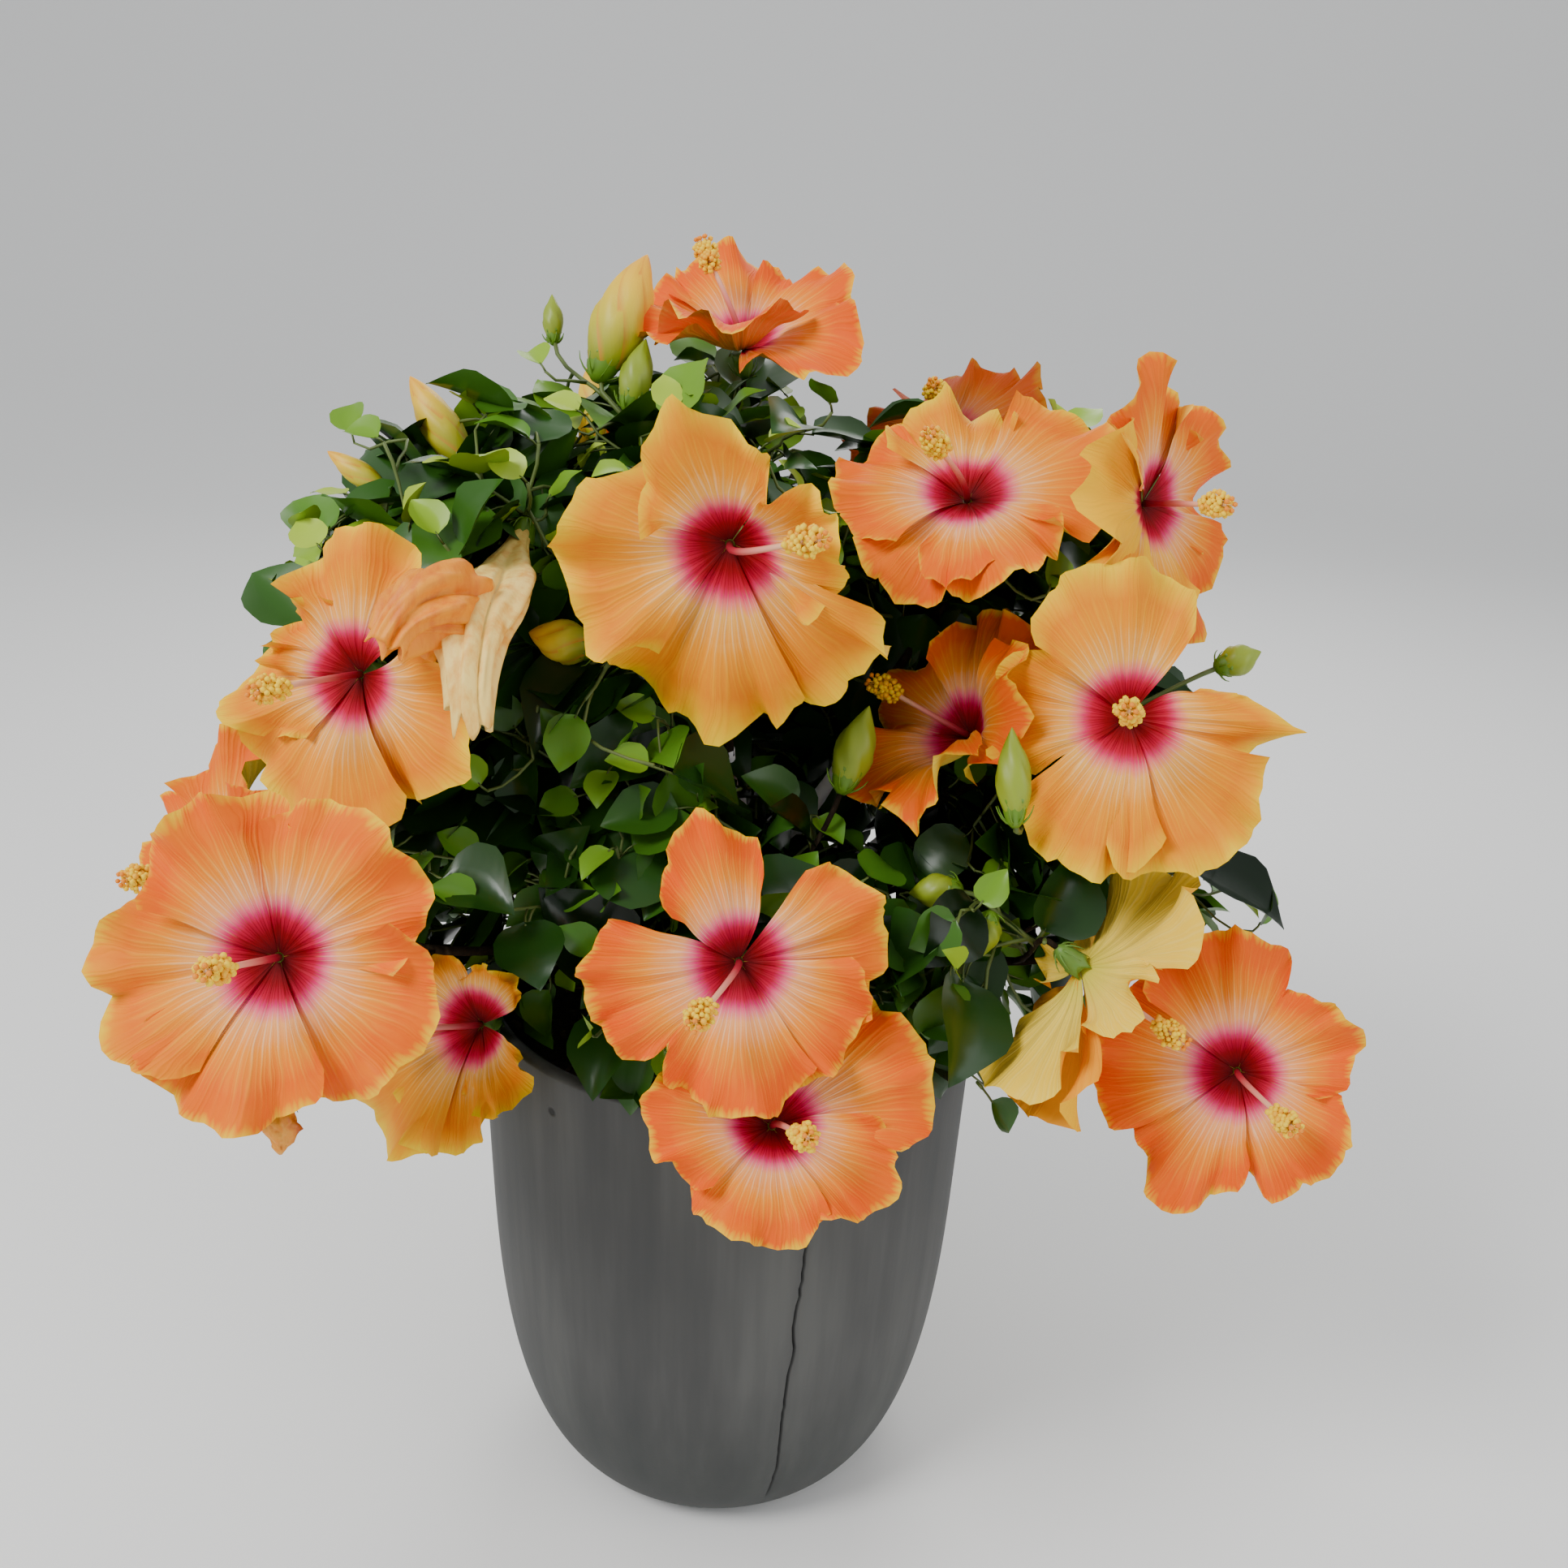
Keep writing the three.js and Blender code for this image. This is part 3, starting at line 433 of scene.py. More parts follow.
def tube_template(sides, steps):
    """A closed unit tube along Z from 0 to 1, with rings between its ends. It is kept only to be copied."""
    bm = bmesh.new()
    bmesh.ops.create_cone(bm, cap_ends=True, segments=sides, radius1=1, radius2=1, depth=1,
                          matrix=Matrix.Translation((0, 0, 0.5)))
    if steps > 1:
        uprights = [e for e in bm.edges if abs(e.verts[0].co.z - e.verts[1].co.z) > 0.5]
        bmesh.ops.subdivide_edges(bm, edges=uprights, cuts=steps - 1)
    return mesh_of("tube", bm)


TUBES = {}


def tube(sides, steps):
    if (sides, steps) not in TUBES:
        TUBES[sides, steps] = tube_template(sides, steps)
    return TUBES[sides, steps]


class Curve:
    """A curve through space by its control points."""

    def __init__(self, *points):
        self.points = points

    def row(self, t, count):
        row = list(self.points)
        while len(row) > count:
            row = [a.lerp(b, t) for a, b in zip(row, row[1:])]
        return row

    def point(self, t):
        return self.row(t, 1)[0]

    def way(self, t):
        a, b = self.row(min(max(t, 0.001), 0.999), 2)
        return (b - a).normalized()

    def cut(self, t):
        """The part of the curve before t."""
        return Curve(*[self.row(t, count)[0] for count in range(len(self.points), 0, -1)])

    def length(self):
        places = [self.point(i / 12) for i in range(13)]
        return sum((b - a).length for a, b in zip(places, places[1:]))

    def frames(self, steps):
        """Centre, side and rise at each step, with as little turning as can be."""
        made = []
        way = self.way(0)
        side = way.cross(UP if abs(way.z) < 0.9 else Vector((0, 1, 0))).normalized()
        for i in range(steps + 1):
            way = self.way(i / steps)
            side = (side - way * side.dot(way)).normalized()
            made.append((self.point(i / steps), side, way.cross(side)))
        return made


def bend(start, leaving, end, arriving, swing=SWING):
    """A curve that leaves one point one way and reaches another in a second way."""
    span = (end - start).length * swing
    return Curve(start, start + leaving * span, end - arriving * span, end)


def add_limb(bm, curve, radius_at, sides, steps, material=0):
    """A limb round a curve. radius_at takes how far along it is and the angle round it."""
    frames = curve.frames(steps)

    def place(co):
        centre, side, rise = frames[round(co.z * steps)]
        radius = radius_at(co.z, math.atan2(co.y, co.x)) * math.hypot(co.x, co.y)
        angle = math.atan2(co.y, co.x)
        return centre + side * (radius * math.cos(angle)) + rise * (radius * math.sin(angle))

    return add_copy(bm, tube(sides, steps), place, material)


def dice(seed):
    """Seeded numbers from 0 to 1, the same on every run."""
    state = seed * 7919
    rolled = 0
    while True:
        state = (1664525 * state + 1013904223) % 4294967296
        rolled += 1
        if rolled > 5:
            yield state / 4294967296


def disc_axes(face):
    """The level and the rising direction on a disc that faces the given way."""
    upright = Vector((0, 1, 0)) if abs(face.z) > 0.985 else UP
    rise = (upright - face * upright.dot(face)).normalized()
    return rise.cross(face).normalized(), rise


def spoke(level, rise, angle):
    """The direction at an angle on a disc with these axes."""
    return level * math.cos(angle) + rise * math.sin(angle)


# Helpers for materials


class Finish:
    """A material and its shader, with a short way to add and join nodes."""

    def __init__(self, name, colour, roughness, **sockets):
        old = bpy.data.materials.get(name)
        if old:
            bpy.data.materials.remove(old)
        self.material = bpy.data.materials.new(name)
        self.material.use_nodes = True
        self.material.diffuse_color = tuple(colour[:3]) + (1.0,)
        self.tree = self.material.node_tree
        self.shader = self.tree.nodes["Principled BSDF"]
        self.shader.inputs["Base Color"].default_value = tuple(colour[:3]) + (1.0,)
        self.shader.inputs["Roughness"].default_value = roughness
        for socket, value in sockets.items():
            self.shader.inputs[socket.replace("_", " ")].default_value = value

    def node(self, kind, settings=None, **sockets):
        made = self.tree.nodes.new(kind)
        for key, value in (settings or {}).items():
            setattr(made, key, value)
        for key, value in sockets.items():
            socket = made.inputs[int(key[1:])] if key[0] == "i" and key[1:].isdigit() else made.inputs[key]
            if isinstance(value, bpy.types.NodeSocket):
                self.tree.links.new(value, socket)
            else:
                socket.default_value = value
        return made

    def math(self, operation, a, b=0.0, is_clamped=False):
        settings = {"operation": operation, "use_clamp": is_clamped}
        return self.node("ShaderNodeMath", settings, i0=a, i1=b).outputs[0]

    def plus(self, a, b):
        return self.math("ADD", a, b)

    def minus(self, a, b, is_clamped=False):
        return self.math("SUBTRACT", a, b, is_clamped)

    def times(self, a, b, is_clamped=False):
        return self.math("MULTIPLY", a, b, is_clamped)

    def reached(self, value, start, end, most=1.0, kind="LINEAR"):
        """0 where the value is at start or before, and the most where it is at end or past it."""
        settings = {"interpolation_type": kind}
        made = self.node("ShaderNodeMapRange", settings, Value=value, i1=start, i2=end, i3=0.0, i4=most)
        return made.outputs[0]

    def blend(self, share, a, b):
        return self.node("ShaderNodeMix", {"data_type": "RGBA"}, i0=share, i6=a, i7=b).outputs[2]

    def tint(self, shade, mask, strength, seen):
        """The shade with a colour as seen laid over it."""
        return self.blend(self.times(mask, strength), shade, paint(*seen))

    def ramp(self, value, stops):
        """Colours by their places from 0 to 1: as seen where a colour has three values, linear where four."""
        made = self.node("ShaderNodeValToRGB", Fac=value)
        elements = made.color_ramp.elements
        while len(elements) < len(stops):
            elements.new(0.5)
        for element, (place, colour) in zip(elements, stops):
            element.position = place
            element.color = colour if len(colour) == 4 else paint(*colour)
        return made.outputs["Color"]

    def places(self, stretch=(1, 1, 1), vector=None):
        """Object coordinates or the given ones, stretched."""
        if vector is None:
            vector = self.node("ShaderNodeTexCoord").outputs["Object"]
        return self.node("ShaderNodeMapping", Vector=vector, Scale=stretch).outputs["Vector"]

    def noise(self, stretch, detail=3.0, roughness=0.55, vector=None):
        where = self.places(stretch, vector)
        made = self.node("ShaderNodeTexNoise", Vector=where, Scale=1.0, Detail=detail, Roughness=roughness)
        return made.outputs["Fac"]

    def attribute(self, name):
        return self.node("ShaderNodeAttribute", {"attribute_name": name}).outputs["Fac"]

    def colour(self, value):
        self.tree.links.new(value, self.shader.inputs["Base Color"])

    def bump(self, height, strength, distance):
        made = self.node("ShaderNodeBump", Height=height, Strength=strength, Distance=distance)
        self.tree.links.new(made.outputs["Normal"], self.shader.inputs["Normal"])


# Pot and soil


def pot_radius(pot, z):
    side = pot.rim_radius - SIDE_TAPER * (pot.height - z)
    low = min(max(1 - z / (ROUND_SHARE * pot.height), 0), 1)
    drawn_in = pot.rim_radius - SIDE_TAPER * pot.height - pot.base_radius
    return side - drawn_in * (1 - (1 - low**ROUND_POWER) ** (1 / ROUND_POWER))


def spun(profile, steps):
    """A closed body from a profile of (radius, height), turned once round Z from straight ahead."""
    bm = bmesh.new()
    verts = [bm.verts.new((0, -radius, z)) for radius, z in profile]
    edges = [bm.edges.new(pair) for pair in zip(verts, verts[1:])]
    bmesh.ops.spin(bm, geom=verts + edges, cent=(0, 0, 0), axis=(0, 0, 1), angle=2 * math.pi, steps=steps,
                   use_merge=True)
    bmesh.ops.remove_doubles(bm, verts=bm.verts, dist=1e-6)
    bmesh.ops.recalc_face_normals(bm, faces=bm.faces)
    return bm


def crack_turn_at(share):
    """The crack's turn at a share of the pot's height, and how deep it is there from 0 to 1."""
    if share < CRACK_HEIGHTS[-1]:
        return CRACK_TURNS[-1], 0.0
    for i in range(1, len(CRACK_HEIGHTS)):
        high, low = CRACK_HEIGHTS[i - 1], CRACK_HEIGHTS[i]
        if low <= share <= high:
            t = (share - low) / (high - low)
            turn = mix(CRACK_TURNS[i], CRACK_TURNS[i - 1], t)
            turn += CRACK_JAG * noise.noise(Vector((share * 60, 3.1, 0)))
            return turn, smooth((share - CRACK_HEIGHTS[-1]) / 0.06)
    return CRACK_TURNS[0], 1.0


def pot_profile(pot, top):
    """Half a section of the pot: its foot, side, rounded lip, inside and floor."""
    side_steps, lip_steps, inside_steps = PROFILE_STEPS
    profile = [(0, 0), (pot.base_radius * 0.5, 0)]
    heights = [top * (i / side_steps) ** 1.35 for i in range(side_steps + 1)]
    profile += [(pot_radius(pot, z), z) for z in heights]
    half = pot.wall / 2
    for i in range(1, lip_steps):
        a = math.pi * i / lip_steps
        profile.append((pot.rim_radius - half + half * math.cos(a), top + LIP_ROUND * math.sin(a)))
    heights = [mix(top, FLOOR, i / inside_steps) for i in range(inside_steps + 1)]
    profile += [(pot_radius(pot, z) - pot.wall, z) for z in heights]
    return profile + [(0.04, FLOOR), (0, FLOOR)]


def push_crack(bm, pot, top):
    """Draws the columns of corners to the crack's line and pushes the middle one in."""
    crack = bm.verts.layers.float.new("crack")
    step = 2 * math.pi / POT_COLUMNS
    middle = math.radians(CRACK_MIDDLE)
    for vert in bm.verts:
        radius = math.hypot(vert.co.x, vert.co.y)
        if radius < POT_HUB:
            continue
        column = round(math.atan2(vert.co.x, -vert.co.y) / step) - CRACK_COLUMN
        column = (column + POT_COLUMNS // 2) % POT_COLUMNS - POT_COLUMNS // 2
        line, depth = crack_turn_at(vert.co.z / pot.height)
        count = abs(column)
        spread = count * pot.crack_turn
        if count > 1:
            spread = pot.crack_turn + (count - 1) * (math.pi - pot.crack_turn) / (POT_COLUMNS / 2 - 1)
        follow = math.exp(-max(count - 1, 0) / CRACK_PULL)
        turn = middle + (math.radians(line) - middle) * follow + math.copysign(spread, column)
        is_outside = radius > pot_radius(pot, min(vert.co.z, top)) - pot.wall * 0.55
        if column == 0 and is_outside:
            radius -= pot.crack_depth * depth
            vert.co.z -= CRACK_NICK * depth * smooth((vert.co.z - top) / LIP_ROUND)
            # The depth is kept for the painted shade in the crack
            vert[crack] = depth
        vert.co.x = radius * math.sin(turn)
        vert.co.y = -radius * math.cos(turn)


class HIBISCUS_OT_pot(Operator):
    """Turns the pot, pushes the crack into its front and gives it its streaked charcoal finish"""

    bl_idname = "hibiscus.pot"
    bl_label = "Pot"

    def execute(self, context):
        pot = context.scene.hibiscus_pot
        top = pot.height - LIP_ROUND
        bm = spun(pot_profile(pot, top), POT_COLUMNS)
        push_crack(bm, pot, top)
        finish_piece("pot_shell", bm, [pot_finish(pot)], ["pot"])
        return {"FINISHED"}


def pot_finish(pot):
    """Charcoal with upright streaks and clouds, darker at the foot and in one small pit, with painted shade
    deep in the crack.
    """
    finish = Finish("charcoal_pot", pot.colour, 0.62, Specular_IOR_Level=0.35)
    high, low = tuple(pot.colour) + (1,), tuple(pot.low_colour) + (1,)
    streaks = finish.noise((34, 34, 2.2), 4.0, 0.6)
    clouds = finish.noise((7, 7, 4), 3.0, 0.5)
    tone = finish.plus(finish.times(streaks, 0.55), finish.times(clouds, 0.6))
    shade = finish.ramp(tone, [(0.36, low), (0.56, high), (0.75, (84, 84, 82))])
    height = finish.node("ShaderNodeSeparateXYZ", Vector=finish.places()).outputs[2]
    lowness = finish.reached(height, 0.17, 0.0, 0.75)
    ragged = finish.times(lowness, finish.plus(clouds, 0.45), True)
    shade = finish.blend(ragged, shade, paint(43, 49, 47))
    # Painted shade in the crack: near black where it is deepest
    crack_shade = finish.times(finish.attribute("crack"), 1.35, True)
    shade = finish.blend(crack_shade, shade, paint(17, 17, 17))
    pit = facing(PIT[0], 0) * (pot_radius(pot, PIT[1]))
    pit.z = PIT[1]
    away = finish.node("ShaderNodeVectorMath", {"operation": "DISTANCE"}, i0=finish.places(), i1=tuple(pit))
    spot = finish.reached(away.outputs["Value"], 0.0042, 0.0022)
    finish.colour(finish.blend(spot, shade, paint(28, 28, 27)))
    grain = finish.noise((520, 520, 420), 3.0, 0.6)
    relief = finish.plus(finish.times(grain, 0.35), streaks)
    finish.bump(finish.minus(relief, finish.times(spot, 3.0)), 0.22, 0.0012)
    return finish.material


def soil_finish():
    finish = Finish("potting_mix", paint(44, 33, 25), 0.95)
    crumbs = finish.noise((330, 330, 330), 5.0, 0.7)
    finish.colour(finish.ramp(crumbs, [(0.3, (26, 20, 15)), (0.55, (52, 39, 29)), (0.72, (92, 74, 56))]))
    finish.bump(crumbs, 0.5, 0.002)
    return finish.material


def strew_chips(edge):
    """Flat bark chips at seeded places on the soil. Each keeps one of three tones."""
    bm, lump = bmesh.new(), ball()
    roll = dice(5)
    for _ in range(CHIPS):
        turn, reach = 360 * next(roll), (edge - 0.008) * math.sqrt(next(roll))
        if reach < CHIP_CLEAR:
            continue
        centre = facing(turn, 0) * reach
        centre.z = SOIL_TOP - SOIL_MOUND * (reach / edge) ** 2 + 0.001
        size = Vector((mix(0.003, 0.008, next(roll)), mix(0.002, 0.005, next(roll)), 0.0022))
        turned = Matrix.Rotation(6.28 * next(roll), 3, "Z") @ Matrix.Rotation(0.5 * next(roll), 3, "X")
        add_copy(bm, lump, lambda co: centre + turned @ (co * size), int(3 * next(roll)))
    tones = ((70, 50, 36), (98, 74, 54), (40, 30, 24))
    chips = [Finish(f"bark_chip_{i}", paint(*tone), 0.9).material for i, tone in enumerate(tones)]
    finish_piece("soil_chips", bm, chips, is_smooth=False)


class HIBISCUS_OT_soil(Operator):
    """Fills the pot with crumbly potting mix and strews bark chips on it"""

    bl_idname = "hibiscus.soil"
    bl_label = "Soil"

    def execute(self, context):
        pot = context.scene.hibiscus_pot
        edge = pot_radius(pot, SOIL_TOP) - pot.wall - 0.0012
        rings = [edge * (i / 26) ** 0.8 for i in range(27)]
        profile = [(r, SOIL_TOP - SOIL_MOUND * (r / edge) ** 2) for r in rings]
        profile += [(edge, SOIL_TOP - SOIL_DEPTH), (0, SOIL_TOP - SOIL_DEPTH)]
        bm = spun(profile, SOIL_COLUMNS)
        for vert in bm.verts:
            if vert.co.z > SOIL_TOP - SOIL_DEPTH / 2:
                rough = noise.noise(vert.co * 45) * 0.004 + noise.noise(vert.co * 160) * 0.002
                vert.co.z += rough * smooth((edge - vert.co.xy.length) / 0.02 + 0.3)
        finish_piece("soil_top", bm, [soil_finish()], ["soil"])
        strew_chips(edge)
        return {"FINISHED"}


# Trunk and boughs

TRUNK_CURVE = Curve(
    Vector((0, 0, SOIL_TOP + GAP)),
    Vector((0, 0, (SOIL_TOP + TRUNK_TOP) / 2)),
    Vector((0, 0, TRUNK_TOP)) + TRUNK_LEAN,
)


def bough_curve(mass):
    start = TRUNK_CURVE.point((mass.fork * MM - SOIL_TOP) / (TRUNK_TOP - SOIL_TOP))
    middle = at(*mass.middle)
    out = (middle - start).normalized()
    leaving = Vector((out.x, out.y, max(out.z, LEAST_RISE))).normalized()
    return bend(start, leaving, start.lerp(middle, BOUGH_SHARE), (out + UP * BOUGH_LIFT).normalized())


def bark_relief(seed, length):
    """How bark swells and furrows a limb, as a factor on its radius."""

    def relief(t, angle):
        around = Vector((math.cos(angle), math.sin(angle), 0))
        furrows = noise.noise(Vector((around.x * 2.6, around.y * 2.6, t * length * 26 + seed)))
        grain = noise.noise(Vector((around.x * 7, around.y * 7, t * length * 90 + seed)))
        ring = 0.10 * math.exp(-((t * length * 26) % 1.0 - 0.5) ** 2 / 0.02)
        return 1 + 0.13 * furrows + 0.06 * grain + ring

    return relief


class HIBISCUS_OT_trunk(Operator):
    """Grows the trunk with its root flare, and the boughs, with bark in relief"""

    bl_idname = "hibiscus.trunk"
    bl_label = "Trunk and boughs"

    def execute(self, context):
        wood = context.scene.hibiscus_wood
        bark = bark_finish(wood)
        bm = bmesh.new()
        relief = bark_relief(1, TRUNK_CURVE.length())

        def trunk_radius(t, angle):
            flare = FLARE * math.exp(-t / FLARE_FALL) * (1 + 0.35 * math.sin(5 * angle + 0.6))
            radius = mix(wood.foot_radius, wood.top_radius, t) + flare
            return radius * mix(1, relief(t, angle), min(1, t * 9))

        add_limb(bm, TRUNK_CURVE, trunk_radius, 28, 40)
        finish_piece("trunk_bark", bm, [bark], ["main_stem"])
        bm = bmesh.new()
        for mass in MASSES:
            curve = bough_curve(mass)
            relief = bark_relief(mass.seed * 3, curve.length())
            add_limb(bm, curve, lambda t, a: mix(BOUGH_RADIUS, BOUGH_TIP_RADIUS, t) * relief(t, a), 14, 26)
        finish_piece("bough_bark", bm, [bark], ["bough_" + mass.name for mass in MASSES])
        return {"FINISHED"}


def bark_finish(wood):
    finish = Finish("grey_brown_bark", wood.bark_colour, 0.85, Specular_IOR_Level=0.08)
    fibres = finish.noise((240, 240, 60), 5.0, 0.65)
    patches = finish.noise((40, 40, 30), 3.0, 0.5)
    tone = finish.plus(finish.times(fibres, 0.6), finish.times(patches, 0.4))
    middle = tuple(wood.bark_colour) + (1,)
    finish.colour(finish.ramp(tone, [(0.34, (24, 19, 14)), (0.52, middle), (0.68, (72, 62, 49))]))
    finish.bump(fibres, 0.5, 0.0012)
    return finish.material


# Growth of the crown, by the solids' rule with more and finer shoots


class Twig:
    """A twig: its curve, its two radii and its kind, which is stem, flower or shoot."""

    def __init__(self, curve, foot, tip, kind):
        self.curve, self.foot, self.tip, self.kind = curve, foot, tip, kind
        self.length = curve.length()

    def node_places(self):
        """How far along the twig others may leave it. A flower twig bears none at its end."""
        count = max(2, round(self.length / NODE_SPACING))
        places = [(i + 0.5) / count for i in range(count)]
        return places[:-1] if self.kind == "flower" else places

    def nodes(self):
        """The place, way and radius at each node."""
        curve = self.curve
        return [(curve.point(t), curve.way(t), mix(self.foot, self.tip, t)) for t in self.node_places()]


def depth_in(middle, reach, point):
    """How far out in a rounded space a point is: 0 at its middle and 1 at its edge."""
    return Vector([(point[k] / MM - middle[k]) / reach[k] for k in range(3)]).length


def space_limit(point):
    """How far out of its own space a mass may grow: a little, deep inside the crown."""
    return DEEP_REACH if depth_in(*CROWN, point) < DEEP else 1.0


def in_space_loosely(mass, point):
    return depth_in(mass.middle, mass.reach, point) < space_limit(point)


def in_space(mass, point):
    """Whether a point is in a mass's own space and not much nearer to the middle of another's."""
    own = depth_in(mass.middle, mass.reach, point)
    others = [other for other in MASSES if other is not mass]
    is_own = all(depth_in(other.middle, other.reach, point) > own * SHARED_SPACE for other in others)
    return own < space_limit(point) and is_own


def outward(mass, point):
    """The way out of the plant, past the middle of the mass."""
    return (point - at(*mass.middle).lerp(at(*HEART), HEART_SHARE)).normalized()


def hides_flower(point):
    """Whether something at this point would stand before a bud, a spent flower or a bloom seen side-on."""
    for middle, radius in SHOWN:
        away = point - middle
        ahead = away.dot(TO_VIEWER)
        if SHOWN_SPACE[0] < ahead < SHOWN_SPACE[1] and (away - TO_VIEWER * ahead).length < radius:
            return True
    return hides_bloom(point)


def hides_bloom(point):
    """Whether something at this point would stand in front of an open flower."""
    for bloom in BLOOMS:
        away = point - at(*bloom.eye)
        face = facing(*bloom.face)
        ahead = away.dot(face)
        is_before = BLOOM_SPACE[0] < ahead < BLOOM_SPACE[1]
        if is_before and (away - face * ahead).length < BLOOM_SIDE * bloom.span * MM:
            return True
    return False


def is_free(places, petals):
    """Whether a path meets no petal."""
    for a, b in zip(places, places[1:]):
        path = b - a
        if petals.ray_cast(a, path.normalized(), path.length)[0] is not None:
            return False
    return True


def twig_to(twigs, nodes, end, arriving, tip, kind, wood, petals):
    """A twig from the best free place to the given end. One that would cut a petal isn't grown."""

    def cost(node):
        path = end - node[0]
        away = max(path.length, 1e-6)
        turned = 1 - path.dot(node[1]) / away
        return away * (1 + TURN_COST * turned) + (SHORT_COST if away < SHORTEST_TWIG else 0)

    for parent in sorted(nodes, key=cost)[:TRIES]:
        leaving = (parent[1] * 0.5 + (end - parent[0]).normalized()).normalized()
        curve = bend(parent[0], leaving, end, arriving)
        last = FLOWER_TWIG_FREE if kind == "flower" else 1.0
        places = [curve.point(last * i / PATH_STEPS) for i in range(PATH_STEPS + 1)]
        if kind == "shoot" and any(hides_bloom(place) for place in places[2:]):
            continue
        is_clear = all(petals.find_nearest(place, PETAL_CLEAR)[0] is None for place in places[1:])
        if is_clear and is_free(places, petals):
            twig = Twig(curve, min(parent[2] * THINNER, wood.twig_radius), tip, kind)
            nodes.remove(parent)
            nodes.extend(twig.nodes())
            twigs.append(twig)
            return


def flower_ends(mass):
    """Where the twigs of a mass's blooms and buds end, and which way they arrive there."""
    ends = []
    for bloom in BLOOMS:
        if bloom.mass == mass.name:
            way = facing(*bloom.face)
            ends.append((at(*bloom.eye) + way * (CALYX_SINK - CALYX_LENGTH), way))
    for bud in BUDS:
        if bud.mass == mass.name:
            way = facing(*bud.way)
            ends.append((at(*bud.root) + way * 0.003, way))
    heart = at(*mass.middle)
    return sorted(ends, key=lambda end: (end[0] - heart).length)


def shoot_ends(mass, roll, spacing):
    """Seeded places for the tips of a mass's shoots, each well apart from the others."""
    ends = []
    for _ in range(THROWS):
        turn, height = 2 * math.pi * next(roll), 2 * next(roll) - 1
        flat = math.sqrt(1 - height * height)
        share = mix(SHOOT_NEAR, DEEP_REACH, next(roll))
        way = (flat * math.cos(turn), flat * math.sin(turn), height)
        end = at(*[mass.middle[k] + share * mass.reach[k] * way[k] for k in range(3)])
        if share > SHOOT_FAR and depth_in(*CROWN, end) > DEEP:
            continue
        is_apart = all((other - end).length > spacing for other in ends)
        if is_apart and in_space(mass, end) and depth_in(*CROWN, end) > BARE_HEART:
            ends.append(end)
    return ends


def grow_mass(mass, wood, leaf, petals):
    """The stem and all twigs of one foliage mass, and the dice that they were thrown with."""
    bough = bough_curve(mass)
    way = bough.way(1)
    start = bough.point(1) - way * 0.004
    heart = at(*mass.middle)
    out = ((heart - start).normalized() + UP * STEM_LIFT).normalized()
    stem = Twig(bend(start, way, heart, out), BOUGH_TIP_RADIUS, STEM_TIP_RADIUS, "stem")
    twigs, nodes = [stem], stem.nodes()
    roll = dice(mass.seed)
    for end, arriving in flower_ends(mass):
        twig_to(twigs, nodes, end, arriving, FLOWER_TWIG_TIP_RADIUS, "flower", wood, petals)
    for end in shoot_ends(mass, roll, leaf.shoot_spacing):
        arriving = (outward(mass, end) + UP * 0.5).normalized()
        twig_to(twigs, nodes, end, arriving, wood.tip_radius, "shoot", wood, petals)
    return twigs, roll


def petal_tree():
    """A search tree of every petal that has been made."""
    verts, faces = [], []
    for piece in bpy.data.objects:
        if piece.name.startswith("petals_"):
            base = len(verts)
            verts += [v.co for v in piece.data.vertices]
            faces += [[base + i for i in p.vertices] for p in piece.data.polygons]
    if not faces:
        raise RuntimeError("make the blooms before the foliage")
    return BVHTree.FromPolygons(verts, faces)


# Leaves


LEAF_CELLS = (4, 10)
LEAF_SHAPES = ((0.16, 0.02), (0.05, 0.035), (0.26, 0.015))
LEAFY_SHARE = 0.85
BARE_FOOT = 0.05
STALK_RADIUS = 0.0009
WOODY_RADIUS = 0.0019


def leaf_template(fold, wave):
    """A broad oval leaf of unit length along Y, folded at its midrib. It is kept only to be copied."""
    bm = bmesh.new()
    bmesh.ops.create_grid(bm, x_segments=LEAF_CELLS[0], y_segments=LEAF_CELLS[1], size=1)
    for vert in bm.verts:
        x, t = vert.co.x, (vert.co.y + 1) / 2
        t = t - 0.06 * math.sin(2 * math.pi * t)
        taper = mix(0.55, 0.95, smooth((t - 0.45) / 0.4))
        half = 0.5 * (math.sin(math.pi * t**0.78) ** taper if 0.001 < t < 0.999 else 0)
        half *= 1 + 0.025 * math.sin(19 * t + 3 * x)
        edge_wave = wave * math.sin(9 * t + (1 if x > 0 else 2.3)) * x * x
        vert.co = Vector((x * half, t, fold * abs(x) ** 1.4 * half * 2 + edge_wave))
    bmesh.ops.remove_doubles(bm, verts=bm.verts, dist=1e-4)
    return mesh_of("leaf", bm)


def leaf_place(root, along, up, length, width, droop):
    """How a leaf's own coordinates go to its place. It bends down along its length."""
    side = along.cross(up).normalized()

    def place(co):
        t = co.y
        fallen = along * (t * length * (1 - 0.25 * droop * t)) - up * (droop * length * t * t * 0.5)
        return root + fallen + side * (co.x * width) + up * (co.z * length)

    return place


def cuts_petal(template, place, petals):
    """Whether a leaf that is set like this would cut or touch a petal."""
    verts = [place(vert.co) for vert in template.vertices]
    blade = BVHTree.FromPolygons(verts, [list(face.vertices) for face in template.polygons], epsilon=0.0012)
    return bool(blade.overlap(petals))


# Greens from the crown's depth to its young tips: name, colour as seen, roughness. Darker greens deep inside
# are painted shade and lighter ones high up painted light; young leaves are truly yellow-green.
LEAF_GREENS = [
    ("leaf_deep_a", (17, 36, 11), 0.27), ("leaf_deep_b", (23, 47, 14), 0.30),
    ("leaf_deep_c", (32, 62, 20), 0.28), ("leaf_mid_a", (41, 76, 24), 0.30),
    ("leaf_mid_b", (51, 90, 28), 0.33), ("leaf_mid_c", (63, 104, 31), 0.32),
    ("leaf_light_a", (82, 127, 35), 0.36), ("leaf_light_b", (106, 148, 38), 0.38),
    ("leaf_young_a", (138, 174, 42), 0.40), ("leaf_young_b", (164, 190, 58), 0.42),
]

